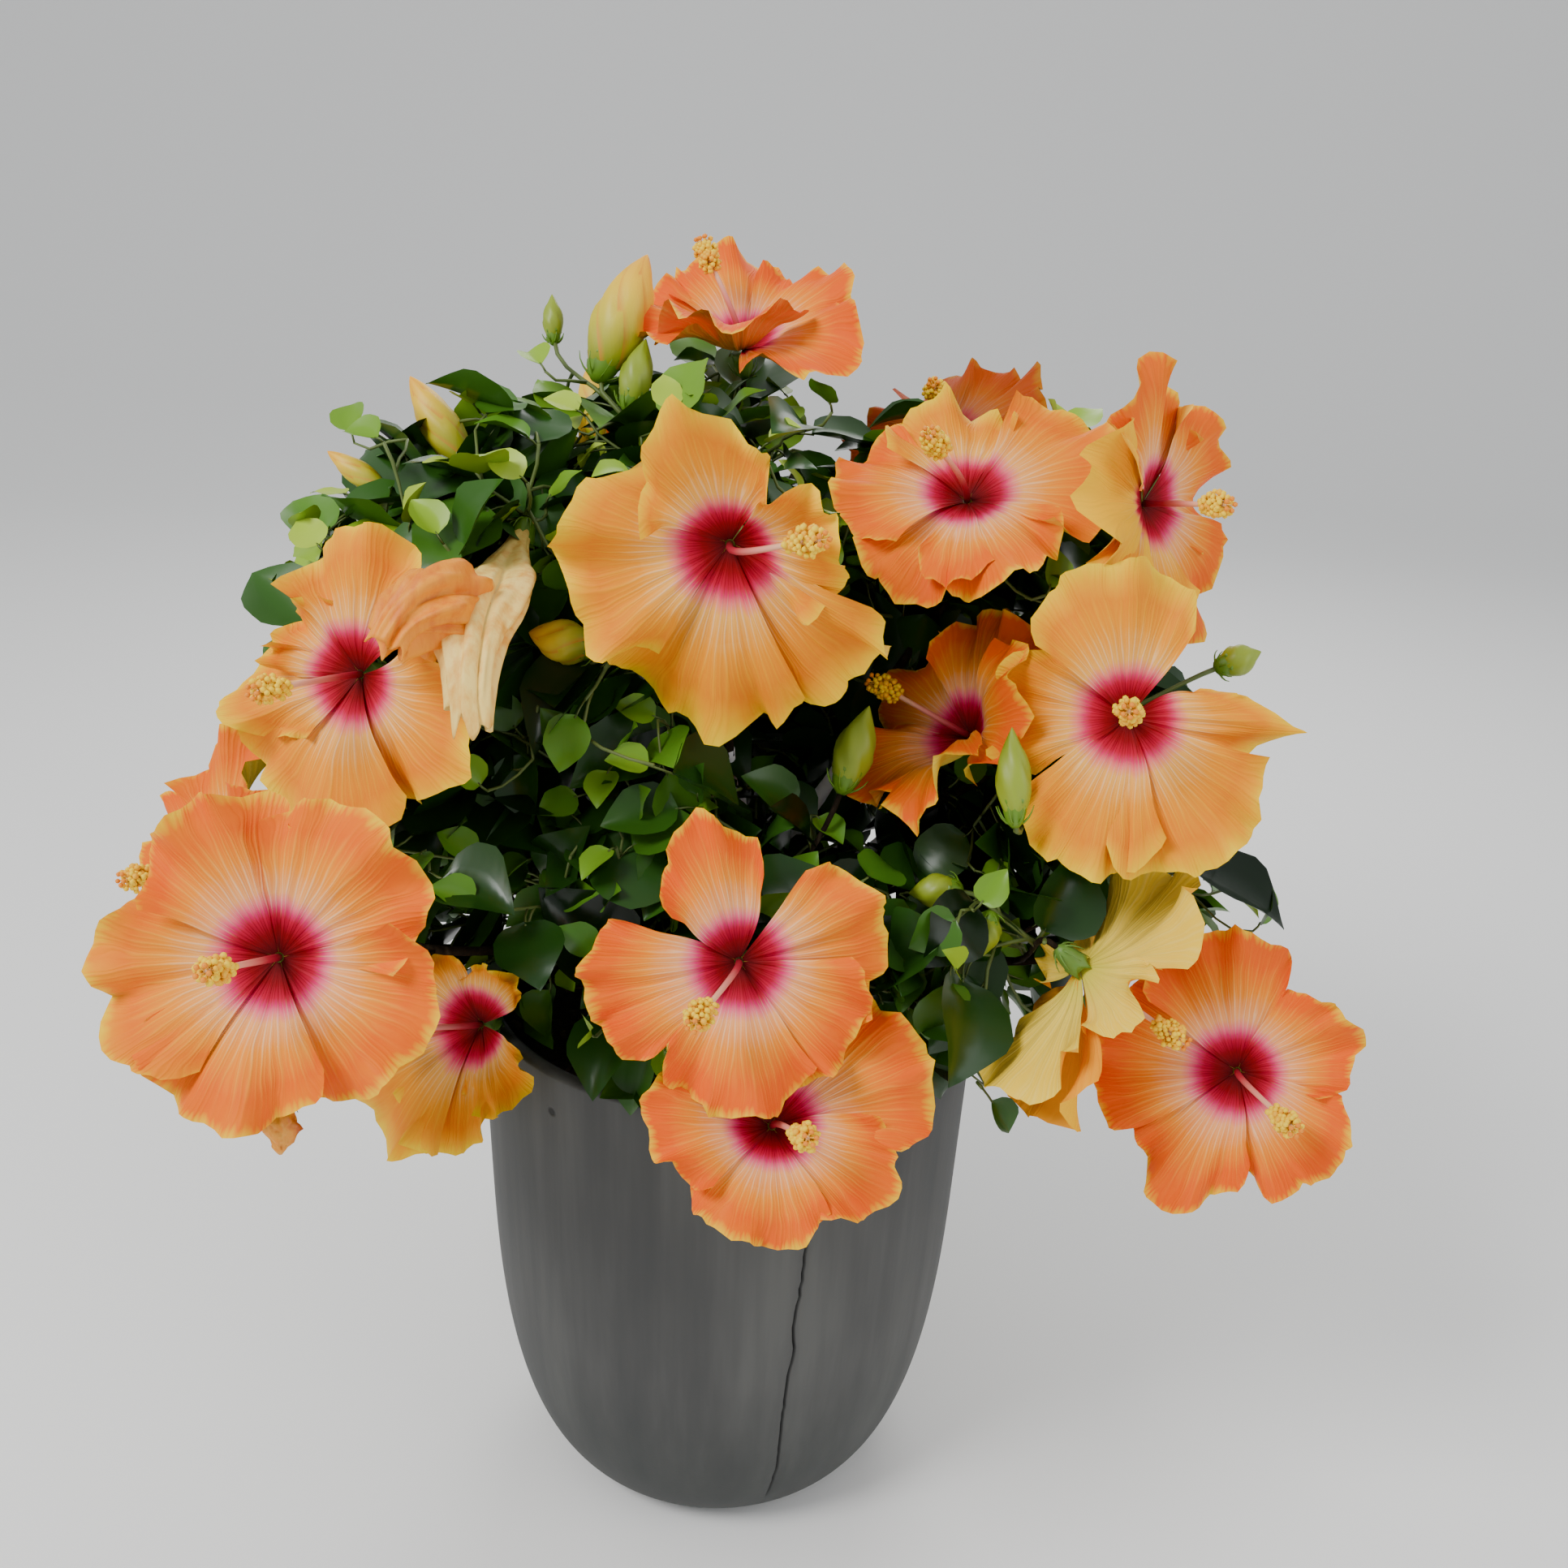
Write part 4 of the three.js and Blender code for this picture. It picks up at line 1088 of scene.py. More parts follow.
# The leaves' pieces: name, then the masses each one takes in
LEAF_PIECES = [("leaves_left", 0, 4), ("leaves_right", 4, 8), ("leaves_back", 8, 11)]


def add_twig(bm, twig, used):
    """The used part of a twig, a little swollen at its nodes."""

    def radius(t, angle):
        swell = 1 + 0.12 * math.cos(2 * math.pi * t * used * twig.length / 0.017)
        return mix(twig.foot, twig.tip, t * used) * swell

    steps = max(3, min(10, round(twig.length * used / NODE_SPACING)))
    add_limb(bm, twig.curve.cut(used), radius, 6, steps)


class HIBISCUS_OT_foliage(Operator):
    """Grows twigs from the boughs to the flowers and the crown's edge, and sets the leaves on them"""

    bl_idname = "hibiscus.foliage"
    bl_label = "Twigs and leaves"

    def execute(self, context):
        wood, leaf = context.scene.hibiscus_wood, context.scene.hibiscus_leaf
        petals = petal_tree()
        woody, green = bmesh.new(), bmesh.new()
        shapes = [leaf_template(*shape) for shape in LEAF_SHAPES]
        made = []
        for name, first, last in LEAF_PIECES:
            blades, masses = bmesh.new(), MASSES[first:last]
            made.append((name, blades, masses))
            for mass in masses:
                twigs, roll = grow_mass(mass, wood, leaf, petals)
                for twig in twigs:
                    leaves = set_leaves(blades, green, shapes, mass, twig, roll, leaf, petals)
                    used = used_part(twig, leaves, twigs)
                    if used:
                        is_woody = twig.kind == "stem" or twig.foot > WOODY_RADIUS
                        add_twig(woody if is_woody else green, twig, used)
        finish_piece("twigs_woody", woody, [bark_finish(wood)])
        stalk = Finish("green_stalk", wood.young_colour, 0.55)
        finish_piece("twigs_green", green, [stalk.material])
        greens = [Finish(name, paint(*seen), rough, Specular_IOR_Level=0.34).material
                  for name, seen, rough in LEAF_GREENS]
        for name, blades, masses in made:
            finish_piece(name, blades, greens, ["foliage_" + mass.name for mass in masses])
        return {"FINISHED"}


def used_part(twig, leaves, twigs):
    """How far along a shoot its last leaf or side twig stands. Stems and flower twigs are used to the end."""
    if twig.kind != "shoot":
        return 1.0
    starts = [other.curve.point(0) for other in twigs]
    for t in twig.node_places():
        if any((start - twig.curve.point(t)).length < 1e-5 for start in starts):
            leaves = leaves + [t]
    return max(leaves, default=0.0)


def set_leaves(blades, stalks, shapes, mass, twig, roll, leaf, petals):
    """Leaves from a twig's tip back along it, each turned on from the last and tilted to the light."""
    placed = []
    if twig.kind == "stem":
        return placed
    end = twig.curve.point(1)
    count = int(twig.length * LEAFY_SHARE / leaf.spacing) + 1
    offset = 2 * math.pi * next(roll)
    # Painted light and shade: a shoot high up gets lighter greens and one deep in the crown darker ones
    tone = 0.6 + 3.4 * next(roll) + 1.9 * smooth((end.z - 0.4) / 0.5)
    tone -= 2.6 * (1 - smooth(depth_in(*CROWN, end) / 0.85))
    for i in range(count):
        t = 1 - i * leaf.spacing / twig.length
        if t < BARE_FOOT or (twig.kind == "flower" and i < 2):
            continue
        point, way = twig.curve.point(t), twig.curve.way(t)
        outer = outward(mass, point)
        spread = spoke(*disc_axes(way), offset + i * GOLDEN_TURN)
        along = (spread + way * FORWARD + outer * OUTWARD).normalized()
        light = UP * TO_LIGHT + outer * LIGHT_OUT
        along = (along + (UP * (next(roll) - 0.6)) * 0.35).normalized()
        up = (light - along * light.dot(along)).normalized()
        up = (up + along.cross(up) * (next(roll) - 0.5) * 0.7).normalized()
        youth = max(0.0, 1 - i / 2.5) if twig.kind == "shoot" else 0.0
        length = leaf.length * mix(0.72 + 0.5 * next(roll), 0.42, youth)
        width = length * leaf.width * (0.9 + 0.2 * next(roll))
        petiole = leaf.petiole * (0.6 + 0.9 * next(roll)) * (1 - 0.6 * youth)
        droop = 0.15 + 0.75 * next(roll) * (1 - 0.6 * youth)
        root = point + (along + way * 0.3).normalized() * petiole
        tip = root + along * (length * 0.85) - up * (droop * length * 0.3)
        middle = root.lerp(tip, 0.5)
        shape = shapes[int(next(roll) * 3)]
        if not (in_space_loosely(mass, tip) and in_space_loosely(mass, root)):
            continue
        if any(hides_flower(place) for place in (tip, middle, root)):
            continue
        if not is_free([point, root, middle, tip], petals):
            continue
        place = leaf_place(root, along, up, length, width, droop)
        if cuts_petal(shape, place, petals):
            continue
        material = round(tone + 1.3 * (next(roll) - 0.5) + 4.2 * youth)
        material = min(len(LEAF_GREENS) - 1, max(0, material))
        stalk = Curve(point, point.lerp(root, 0.6) + way * 0.002, root + along * 0.002)
        add_limb(stalks, stalk, lambda t, angle: STALK_RADIUS, 3, 2)
        add_copy(blades, shape, place, material)
        placed.append(t)
    return placed


# Blooms


def petal_place(bloom, index, settings, roll):
    """How one petal's own coordinates, u across from -1 to 1 and v from base to margin, go to its place."""
    offset, reach, breadth, tip, lean = bloom.petals[index]
    face = facing(*bloom.face)
    level, rise = disc_axes(face)
    eye = at(*bloom.eye)
    radius = bloom.span * MM / 2
    angle = math.radians(bloom.turn + offset + 3 * (next(roll) - 0.5)) + index * 2 * math.pi / PETALS
    phases = [2 * math.pi * next(roll) for _ in range(6)]
    waves, skew = 1.5 + 0.7 * next(roll), 0.10 * (next(roll) - 0.5)
    recurve = RECURVE + 0.10 * (next(roll) - 0.35)
    axis = spoke(level, rise, angle)
    across = level * -math.sin(angle) + rise * math.cos(angle)
    ripples = (
        (settings.ruffle, 2.2, math.pi * waves, phases[0]),
        (settings.ruffle * 0.62, 4, math.pi * 2.1 * waves, phases[3]),
        (settings.frill, 8, 5.1 * math.pi, phases[4]),
        (settings.frill * 0.35, 14, 11 * math.pi, phases[5]),
    )

    def place(u, v, side):
        turn = u * math.radians(mix(BASE_HALF, MARGIN_HALF * breadth, smooth(v * 1.4)))
        turn += 0.035 * v**4 * math.sin(3.1 * math.pi * u + phases[4])
        rounded = 1 - settings.notch * abs(u) ** 2.5 + skew * u
        rounded += tip * (math.exp(-((u / 0.2) ** 2)) - 0.8 * abs(u))
        rounded += 0.045 * noise.noise(Vector((u * 2.3, phases[0], index)))
        rounded += (0.024 * math.sin(3.6 * math.pi * u + phases[1])
                    + 0.011 * math.sin(8.7 * math.pi * u + phases[2]))
        s = 0.03 + 0.97 * v * mix(1, reach * rounded, smooth(v))
        height = CUP * s - recurve * s * s + OVERLAP_LIFT * u * s
        for size, power, pace, phase in ripples:
            height += size * v**power * math.sin(pace * u + phase)
        height += 0.011 * math.sin(math.pi * min(1, v)) * math.sin(6.5 * math.pi * u + phases[1])
        height += 0.020 * noise.noise(Vector((u * 2.2, v * 2.6 + phases[1], index))) * v
        height -= 0.016 * math.exp(-((u / 0.10) ** 2)) * math.sin(math.pi * min(1, v * 1.05))
        height -= settings.thickness / radius * side * (1 - u**8) * (1 - v**10) * smooth(v * 8)
        bent = math.radians(lean) * smooth(v * 1.8)
        out = axis * math.cos(bent) + face * math.sin(bent)
        lift = face * math.cos(bent) - axis * math.sin(bent)
        return eye + spoke(out, across, turn) * (radius * s) + lift * (radius * height)

    return place


def add_petal(bm, place, index, gold):
    """A petal as a thin closed shell: a front and a back grid that meet at the margin."""
    petal_map, bake_map = bm.loops.layers.uv["petal"], bm.loops.layers.uv["OFBake"]
    side_layer, gold_layer = bm.loops.layers.float["side"], bm.loops.layers.float["gold"]
    columns, rows = BAKE_CELLS
    width, height = 1 / columns - 2 * BAKE_GAP, 1 / rows - 2 * BAKE_GAP
    for side in (0, 1):
        grid = bmesh.ops.create_grid(bm, x_segments=PETAL_CELLS[0], y_segments=PETAL_CELLS[1], size=1)
        verts = grid["verts"]
        faces = list({face for vert in verts for face in vert.link_faces})
        cell = 2 * index + side
        corner = Vector((cell % columns / columns + BAKE_GAP, cell // columns / rows + BAKE_GAP))
        for face in faces:
            for loop in face.loops:
                u, v = (loop.vert.co.x + 1) / 2, (loop.vert.co.y + 1) / 2
                loop[petal_map].uv = (u, v)
                loop[bake_map].uv = corner + Vector((u * width, v * height))
                loop[side_layer], loop[gold_layer] = side, gold
        for vert in verts:
            vert.co = place(vert.co.x, (vert.co.y + 1) / 2, side)
        if side:
            bmesh.ops.reverse_faces(bm, faces=faces)


def make_petals(bm, bloom, number, settings):
    """A bloom's five petals, with their fronts to the way it faces."""
    roll = dice(100 + number)
    side = bm.loops.layers.float.new("side")
    bm.loops.layers.float.new("gold")
    bm.loops.layers.uv.new("petal")
    bm.loops.layers.uv.new("OFBake")
    for index in range(PETALS):
        before = len(bm.verts)
        gold = bloom.gold + GOLDEN_PETALS.get((number, index), 0) + 0.12 * (next(roll) - 0.5)
        add_petal(bm, petal_place(bloom, index, settings, roll), index, gold)
        bm.verts.ensure_lookup_table()
        bmesh.ops.remove_doubles(bm, verts=bm.verts[before:], dist=2e-6)
    for edge in bm.edges:
        edge.smooth = len({face.loops[0][side] for face in edge.link_faces}) == 1
    face = facing(*bloom.face)
    bm.normal_update()
    fronts = sum(f.normal.dot(face) * f.calc_area() for f in bm.faces if f.loops[0][side] < 0.5)
    if fronts < 0:
        bmesh.ops.reverse_faces(bm, faces=bm.faces)


# Petal colours as seen, by how far out they stand: the eye, its halo, the field and the margin
ORANGE_RINGS = [
    (0.00, (84, 0, 12)), (0.12, (134, 0, 24)), (0.205, (186, 2, 56)), (0.25, (214, 28, 104)),
    (0.295, (240, 104, 130)), (0.36, (252, 172, 104)), (0.55, (250, 146, 28)), (0.78, (244, 100, 8)),
    (0.92, (244, 98, 2)), (1.00, (255, 200, 10)),
]
GOLDEN_RINGS = [
    (0.00, (90, 0, 12)), (0.12, (142, 0, 22)), (0.205, (194, 4, 54)), (0.25, (220, 34, 96)),
    (0.295, (244, 120, 112)), (0.36, (252, 184, 76)), (0.55, (246, 156, 6)), (0.76, (240, 142, 0)),
    (0.88, (250, 176, 0)), (1.00, (255, 216, 0)),
]
BACK_RINGS = [(0.00, (206, 200, 60)), (0.3, (250, 218, 84)), (0.75, (252, 208, 62)), (1.00, (255, 214, 60))]
# Brown laid over a bloom with gold below -0.6: painted shade, for a bloom that stands in shade behind the
# others
SHADED_BLOOM_BROWN = (140, 56, 14)
VEIN_PACE = 58.0
FINE_VEIN_PACE = 131.0


def vein_lines(finish, across, spread, v):
    """Fine lines that run out from the eye: a coarse set and, weaker and further out, a finer one."""
    strands = finish.plus(across, finish.times(finish.minus(spread, 0.5), 0.22))
    veins = finish.math("SINE", finish.times(strands, VEIN_PACE))
    veins = finish.math("POWER", finish.math("MAXIMUM", veins, 0.0), 3.0)
    fine = finish.math("SINE", finish.times(strands, FINE_VEIN_PACE))
    fine = finish.times(finish.math("MAXIMUM", fine, 0.0), finish.times(v, 0.6))
    return finish.math("MAXIMUM", veins, fine)


def petal_finish():
    """Crimson eye with a pink halo, pale veins, orange field and yellow margin; the backs are pale yellow. A
    bloom with gold below -0.6 is browned all over as painted shade.
    """
    finish = Finish("petal_sunset", paint(235, 150, 85), 0.62, Specular_IOR_Level=0.14)
    where = finish.node("ShaderNodeUVMap", {"uv_map": "petal"}).outputs["UV"]
    split = finish.node("ShaderNodeSeparateXYZ", Vector=where)
    u, v = split.outputs[0], split.outputs[1]
    across = finish.times(finish.minus(u, 0.5), 2.0)
    clouds = finish.noise((38, 38, 38), 2.0, 0.5)
    spread = finish.noise((7, 1.6, 1), 2.0, vector=where)
    lines = vein_lines(finish, across, spread, v)
    shifted = finish.minus(v, finish.times(lines, 0.045))
    shifted = finish.plus(shifted, finish.times(finish.minus(spread, 0.5), 0.10))
    shifted = finish.minus(shifted, finish.times(finish.times(across, across), 0.035))
    edge = finish.plus(shifted, finish.times(finish.minus(clouds, 0.5), 0.16))
    shifted = finish.blend(finish.math("GREATER_THAN", v, 0.5), shifted, edge)
    own_gold, is_back = finish.attribute("gold"), finish.math("GREATER_THAN", finish.attribute("side"), 0.5)
    gold = finish.minus(finish.plus(own_gold, finish.times(clouds, 0.5)), 0.25, True)
    field = finish.blend(gold, finish.ramp(shifted, ORANGE_RINGS), finish.ramp(shifted, GOLDEN_RINGS))
    window = finish.reached(v, 0.2, 0.36, kind="SMOOTHSTEP")
    fade = finish.reached(v, 0.98, 0.5, kind="SMOOTHSTEP")
    amount = finish.times(finish.times(window, fade), lines)
    pale = finish.blend(gold, paint(255, 206, 92), paint(252, 190, 20))
    field = finish.blend(finish.times(amount, 0.24), field, pale)
    near = finish.reached(v, 0.68, 0.3, kind="SMOOTHSTEP")
    rays = finish.times(finish.times(window, near), lines)
    field = finish.tint(field, rays, 0.42, (255, 222, 204))
    field = finish.tint(field, finish.times(finish.minus(1.0, lines), window), 0.12, (214, 70, 8))
    is_yellow = finish.times(finish.minus(own_gold, 1.05), 8.0, True)
    field = finish.tint(field, is_yellow, window, (255, 190, 0))
    # Painted shade: a bloom with gold below -0.6 is browned on its fronts and its backs
    is_shaded_bloom = finish.math("LESS_THAN", own_gold, -0.6)
    field = finish.tint(field, is_shaded_bloom, 0.75, SHADED_BLOOM_BROWN)
    back = finish.ramp(shifted, BACK_RINGS)
    back = finish.tint(back, finish.math("LESS_THAN", own_gold, -0.02), 0.85, (252, 124, 50))
    back = finish.tint(back, is_shaded_bloom, 0.75, SHADED_BLOOM_BROWN)
    back = finish.tint(back, lines, 0.28, (255, 234, 130))
    back = finish.blend(finish.minus(own_gold, 0.8, True), back, paint(246, 158, 4))
    finish.colour(finish.blend(is_back, field, back))
    finish.bump(finish.plus(lines, finish.times(clouds, 0.6)), 0.35, 0.0011)
    return finish.material


class HIBISCUS_OT_blooms(Operator):
    """Opens every bloom: five ruffled petals each, its column with anthers, and the green calyx behind"""

    bl_idname = "hibiscus.blooms"
    bl_label = "Blooms"

    def execute(self, context):
        settings = context.scene.hibiscus_bloom
        finish = petal_finish()
        for number, bloom in enumerate(BLOOMS):
            bm = bmesh.new()
            make_petals(bm, bloom, number, settings)
            finish_piece(f"petals_{number + 1:02d}", bm, [finish])
        make_columns(settings)
        make_calyces()
        return {"FINISHED"}


def column_curve(bloom, settings):
    """The column leaves the eye straight and then turns its own way."""
    eye, face, way = at(*bloom.eye), facing(*bloom.face), facing(*bloom.column)
    return bend(eye + face * 0.001, face, eye + way * (bloom.span * MM * settings.column), way, 0.3)


# Where the anthers stand on a column: from here, over this share of it
ANTHER_START = 0.72
ANTHER_ZONE = 0.26
COLUMN_RADII = (0.0023, 0.0013)
FILAMENT_RADIUS = 0.00032
STIGMA_LENGTH = 0.0055
STIGMA_RADIUS = 0.0005
STIGMA_PAD = 0.0017
ANTHER_TONES = [
    ("anther_yellow", (255, 212, 10)), ("filament_pale", (252, 204, 84)),
    ("anther_gold", (250, 184, 0)), ("stigma_orange", (242, 140, 6)),
]


def add_anthers(bm, grain, curve, count, roll):
    """Anthers round the outer part of a column, each on its fine filament."""
    frames = curve.frames(40)
    for i in range(count):
        t = ANTHER_START + ANTHER_ZONE * i / count
        foot, side, rise = frames[round(t * 40)]
        way = (spoke(side, rise, i * GOLDEN_TURN) + curve.way(t) * 0.45).normalized()
        reach = mix(0.0045, 0.0095, next(roll)) * (1 - 0.3 * abs(2 * (t - ANTHER_START) / ANTHER_ZONE - 1))
        end = foot + way * reach
        add_limb(bm, Curve(foot, end), lambda s, angle: FILAMENT_RADIUS, 3, 1, 1)
        size = mix(0.0015, 0.0023, next(roll))
        add_copy(bm, grain, lambda co: end + co * size, 0 if next(roll) > 0.3 else 2)


def add_stigma(bm, grain, curve):
    """Five short arms with round pads at a column's tip."""
    tip, way = curve.point(1), curve.way(1)
    level, rise = disc_axes(way)
    for i in range(PETALS):
        spread = (way + spoke(level, rise, i * 2 * math.pi / PETALS) * 0.9).normalized()
        end = tip + spread * STIGMA_LENGTH
        add_limb(bm, Curve(tip - way * 0.002, end), lambda s, angle: STIGMA_RADIUS, 4, 1, 1)
        add_copy(bm, grain, lambda co: end + co * STIGMA_PAD, 3)


def make_columns(settings):
    """The columns, red at the foot and pale at the tip, with their anthers and stigmas."""
    columns, anthers = bmesh.new(), bmesh.new()
    along = columns.verts.layers.float.new("along")
    grain = ball()
    for number, bloom in enumerate(BLOOMS):
        curve = column_curve(bloom, settings)
        for vert in add_limb(columns, curve, lambda t, angle: mix(*COLUMN_RADII, t), 8, 12):
            nearest = min(range(25), key=lambda i: (curve.point(i / 24) - vert.co).length)
            vert[along] = nearest / 24
        add_anthers(anthers, grain, curve, settings.anthers, dice(300 + number))
        add_stigma(anthers, grain, curve)
    finish = Finish("column_blush", paint(220, 130, 120), 0.45)
    finish.colour(finish.ramp(finish.attribute("along"), [
        (0.0, (120, 6, 24)), (0.25, (176, 44, 62)), (0.5, (226, 138, 124)), (0.8, (246, 206, 160)),
    ]))
    finish_piece("columns", columns, [finish.material])
    finishes = [Finish(name, paint(*seen), 0.6).material for name, seen in ANTHER_TONES]
    finish_piece("anthers", anthers, finishes)


# Radii of a calyx, of its breadth, by how far along it they stand
CALYX_RINGS = [(0.0, 0.22), (0.12, 0.52), (0.35, 0.72), (0.6, 0.80), (0.8, 0.92), (1.0, 1.0)]
BRACTS = 7


def ring_radius(rings, t):
    for (t0, r0), (t1, r1) in zip(rings, rings[1:]):
        if t0 <= t <= t1:
            return mix(r0, r1, (t - t0) / (t1 - t0))
    return rings[-1][1]


def add_cup(bm, foot, way, length, breadth):
    """A calyx: a ribbed cup with five teeth, and a ring of narrow bracts at its foot."""
    level, rise = disc_axes(way)

    def place(co):
        angle = math.atan2(co.y, co.x)
        radius = ring_radius(CALYX_RINGS, co.z) * breadth * math.hypot(co.x, co.y)
        notch = smooth((co.z - 0.55) / 0.45) * (1 - math.cos(2.5 * angle) ** 2)
        radius *= 1 - 0.10 * notch + 0.04 * math.cos(10 * angle)
        return foot + way * (length * (co.z - 0.34 * notch)) + spoke(level, rise, angle) * radius

    add_copy(bm, tube(20, 8), place)
    for i in range(BRACTS):
        spread = spoke(level, rise, i * 2 * math.pi / BRACTS)
        start = foot + spread * 0.002 + way * 0.002
        end = foot + spread * breadth * 1.25 + way * length * 0.55
        bract = bend(start, (spread + way * 0.2).normalized(), end, (way + spread * 0.3).normalized())
        add_limb(bm, bract, lambda t, angle: 0.0010 * (1 - 0.75 * t), 4, 4)


def make_calyces():
    bm = bmesh.new()
    for bloom in BLOOMS:
        face = facing(*bloom.face)
        add_cup(bm, at(*bloom.eye) - face * (CALYX_LENGTH - 0.002), face, CALYX_LENGTH, CALYX_BREADTH)
    finish_piece("calyces", bm, [Finish("calyx_green", paint(96, 132, 52), 0.5).material])


# Buds and spent flowers


BUD_TWIST = 3.2


def bud_template(folds, twist, crumple):
    """A closed flower of unit length along Z: five petals rolled round one another."""
    bm = bmesh.new()
    bmesh.ops.create_uvsphere(bm, u_segments=30, v_segments=18, radius=1)
    for vert in bm.verts:
        t = (vert.co.z + 1) / 2
        angle = math.atan2(vert.co.y, vert.co.x)
        is_end = not 0 < t < 1
        wide = 0 if is_end else math.sin(math.pi * min(1, t**0.86)) ** 0.8
        ridge = ((angle + twist * t) * PETALS / (2 * math.pi)) % 1.0
        wide *= 1 - folds * (1 - ridge) ** 2 * smooth(t * 3)
        if not is_end:
            around = Vector((math.cos(angle) * 2, math.sin(angle) * 2, t * 5))
            wide = max(wide + crumple * noise.noise(around) * smooth(t * 2), 0)
        vert.co = Vector((math.cos(angle) * wide / 2, math.sin(angle) * wide / 2, t))
    return mesh_of("bud", bm)


def add_closed_flower(bm, shape, foot, way, length, width, wilted):
    """A flower that is rolled up. It notes for its finish how far along each corner is, and how wilted."""
    level, rise = disc_axes(way)
    along, ridge, wilt = [bm.verts.layers.float[name] for name in ("along", "ridge", "wilt")]

    def place(co):
        return foot + way * (co.z * length) + level * (co.x * width) + rise * (co.y * width)

    for vert in add_copy(bm, shape, place):
        away = vert.co - foot
        vert[along] = away.dot(way) / length
        angle = math.atan2(away.dot(rise), away.dot(level))
        vert[ridge] = (angle + BUD_TWIST * vert[along]) % (2 * math.pi / PETALS)
        vert[wilt] = wilted


def add_green_bud(bm, shape, foot, way, length, width):
    """A young bud, still wholly in its ribbed calyx."""
    level, rise = disc_axes(way)

    def place(co):
        sharp = 1 - 0.25 * smooth((co.z - 0.6) / 0.4)
        return foot + way * (co.z * length) + (level * co.x + rise * co.y) * (width * sharp)

    add_copy(bm, shape, place, 1)


class HIBISCUS_OT_buds(Operator):
    """Sets the closed buds and the wilted flowers on their twigs"""

    bl_idname = "hibiscus.buds"
    bl_label = "Buds and spent flowers"

    def execute(self, context):
        closed, cups, limp = bmesh.new(), bmesh.new(), bmesh.new()
        for name in ("along", "ridge", "wilt"):
            closed.verts.layers.float.new(name)
        bud_shape, wilted_shape = bud_template(0.16, BUD_TWIST, 0.0), bud_template(0.30, 4.5, 0.35)
        for bud in BUDS:
            way = facing(*bud.way)
            length = bud.length * MM
            width = length * bud.width
            foot = at(*bud.root) - way * 0.002
            base = foot - way * 0.002
            if bud.kind == "limp":
                add_limp_flower(limp, foot, way)
                add_cup(cups, base - way * 0.002, way, CALYX_LENGTH, 0.0095)
            elif bud.kind == "green":
                add_green_bud(cups, bud_shape, foot, way, length, width)
                add_cup(cups, base, way, length * 0.42, max(0.0055, width * 0.42))
            else:
                wilted = 1.0 if bud.kind == "wilted" else 0.0
                shape = wilted_shape if wilted else bud_shape
                add_closed_flower(closed, shape, foot, way, length, width, wilted)
                add_cup(cups, base, way, max(0.014, length * 0.30), max(0.0062, width * 0.36))
        finish_piece("buds_closed", closed, [bud_finish()])
        finishes = [limp_finish("limp_cream", (250, 214, 116)), limp_finish("limp_gold", (244, 150, 14))]
        finish_piece("limp_flower", limp, finishes)
        tones = [("bud_calyx_green", (96, 134, 34)), ("bud_green", (140, 158, 44))]
        finishes = [Finish(name, paint(*seen), 0.45).material for name, seen in tones]
        finish_piece("buds_green", cups, finishes)
        return {"FINISHED"}


# The limp flower's parts: where on the first part each starts, where it ends and the way it arrives there,
# its widest radius in millimetres, how flat it is and how crumpled
LIMP_PARTS = [
    (0.0, (-139, -212, 663), (8, -80), 25, 0.7, 0.28),
    (0.35, (-184, -206, 704), (-40, -60), 27, 0.85, 0.62),
]
LIMP_MOUTH = 0.9
LIMP_STEPS = 64
LIMP_SIDES = 84


def limp_place(number, curve, widest, flat, crumple):
    """How a unit tube's corners go to a furled petal that is folded, crumpled and open at its end."""
    frames, end_way = curve.frames(LIMP_STEPS), curve.way(1)

    def place(co):
        angle = math.atan2(co.y, co.x)
        t = min(co.z / LIMP_MOUTH, 1)
        inside = max(0, (co.z - LIMP_MOUTH) / (1 - LIMP_MOUTH))
        centre, across, rise = frames[round((t - 0.2 * inside) * LIMP_STEPS)]
        around = Vector((math.cos(angle), math.sin(angle), 0))
        began = smooth(t * 3)
        wander = 1.2 * noise.noise(around * 1.3 + UP * 2 * t)
        fold = 1 - abs(math.sin(3.5 * angle + 1.8 * t + number + wander))
        wide = widest * MM * (0.22 + 0.78 * smooth(t * 2.2)) * (1 - 0.45 * smooth((t - 0.5) / 0.5))
        wide *= 1 - 0.36 * fold**2 * began
        wide *= 1 + crumple * noise.noise(around * 1.1 + UP * (2.2 * t + 7 * number)) * began
        wide *= 1 + crumple * 0.5 * noise.noise(around * 3.6 + UP * (4.5 * t + 3 * number)) * began
        wide *= 1 - 0.85 * inside
        drop = end_way * (0.016 * noise.noise(around * 1.7 + UP * number) * smooth((t - 0.6) / 0.4))
        return centre + across * (wide * math.cos(angle)) + rise * (wide * flat * math.sin(angle)) + drop

    return place


def add_limp_flower(bm, foot, way):
    """A wilted flower: furled petals that hang from their calyx, the later ones from the first."""
    leaving, stalk = (way + UP * 0.3).normalized(), None
    for number, (start, end, arriving, widest, flat, crumple) in enumerate(LIMP_PARTS):
        first = stalk.point(start) if stalk else foot
        curve = bend(first, leaving, at(*end), facing(*arriving), 0.42)
        stalk = stalk or curve
        add_copy(bm, tube(LIMP_SIDES, LIMP_STEPS), limp_place(number, curve, widest, flat, crumple), number)


def limp_finish(name, seen):
    """A crumpled skin of one colour as seen, browner in upright streaks: partly real browning and partly
    painted shade along the folds.
    """
    tone = paint(*seen)
    brown = tuple(c * k for c, k in zip(tone[:3], (0.86, 0.6, 0.3))) + (1.0,)
    finish = Finish(name, tone, 0.6)
    # The brown streaks run upright along the hanging flower: partly real browning, partly painted shade of
    # its folds
    finish.colour(finish.ramp(finish.noise((110, 110, 24), 4.0, 0.6), [(0.34, brown), (0.56, tone)]))
    finish.bump(finish.noise((160, 160, 60), 4.0), 0.5, 0.0015)
    return finish.material


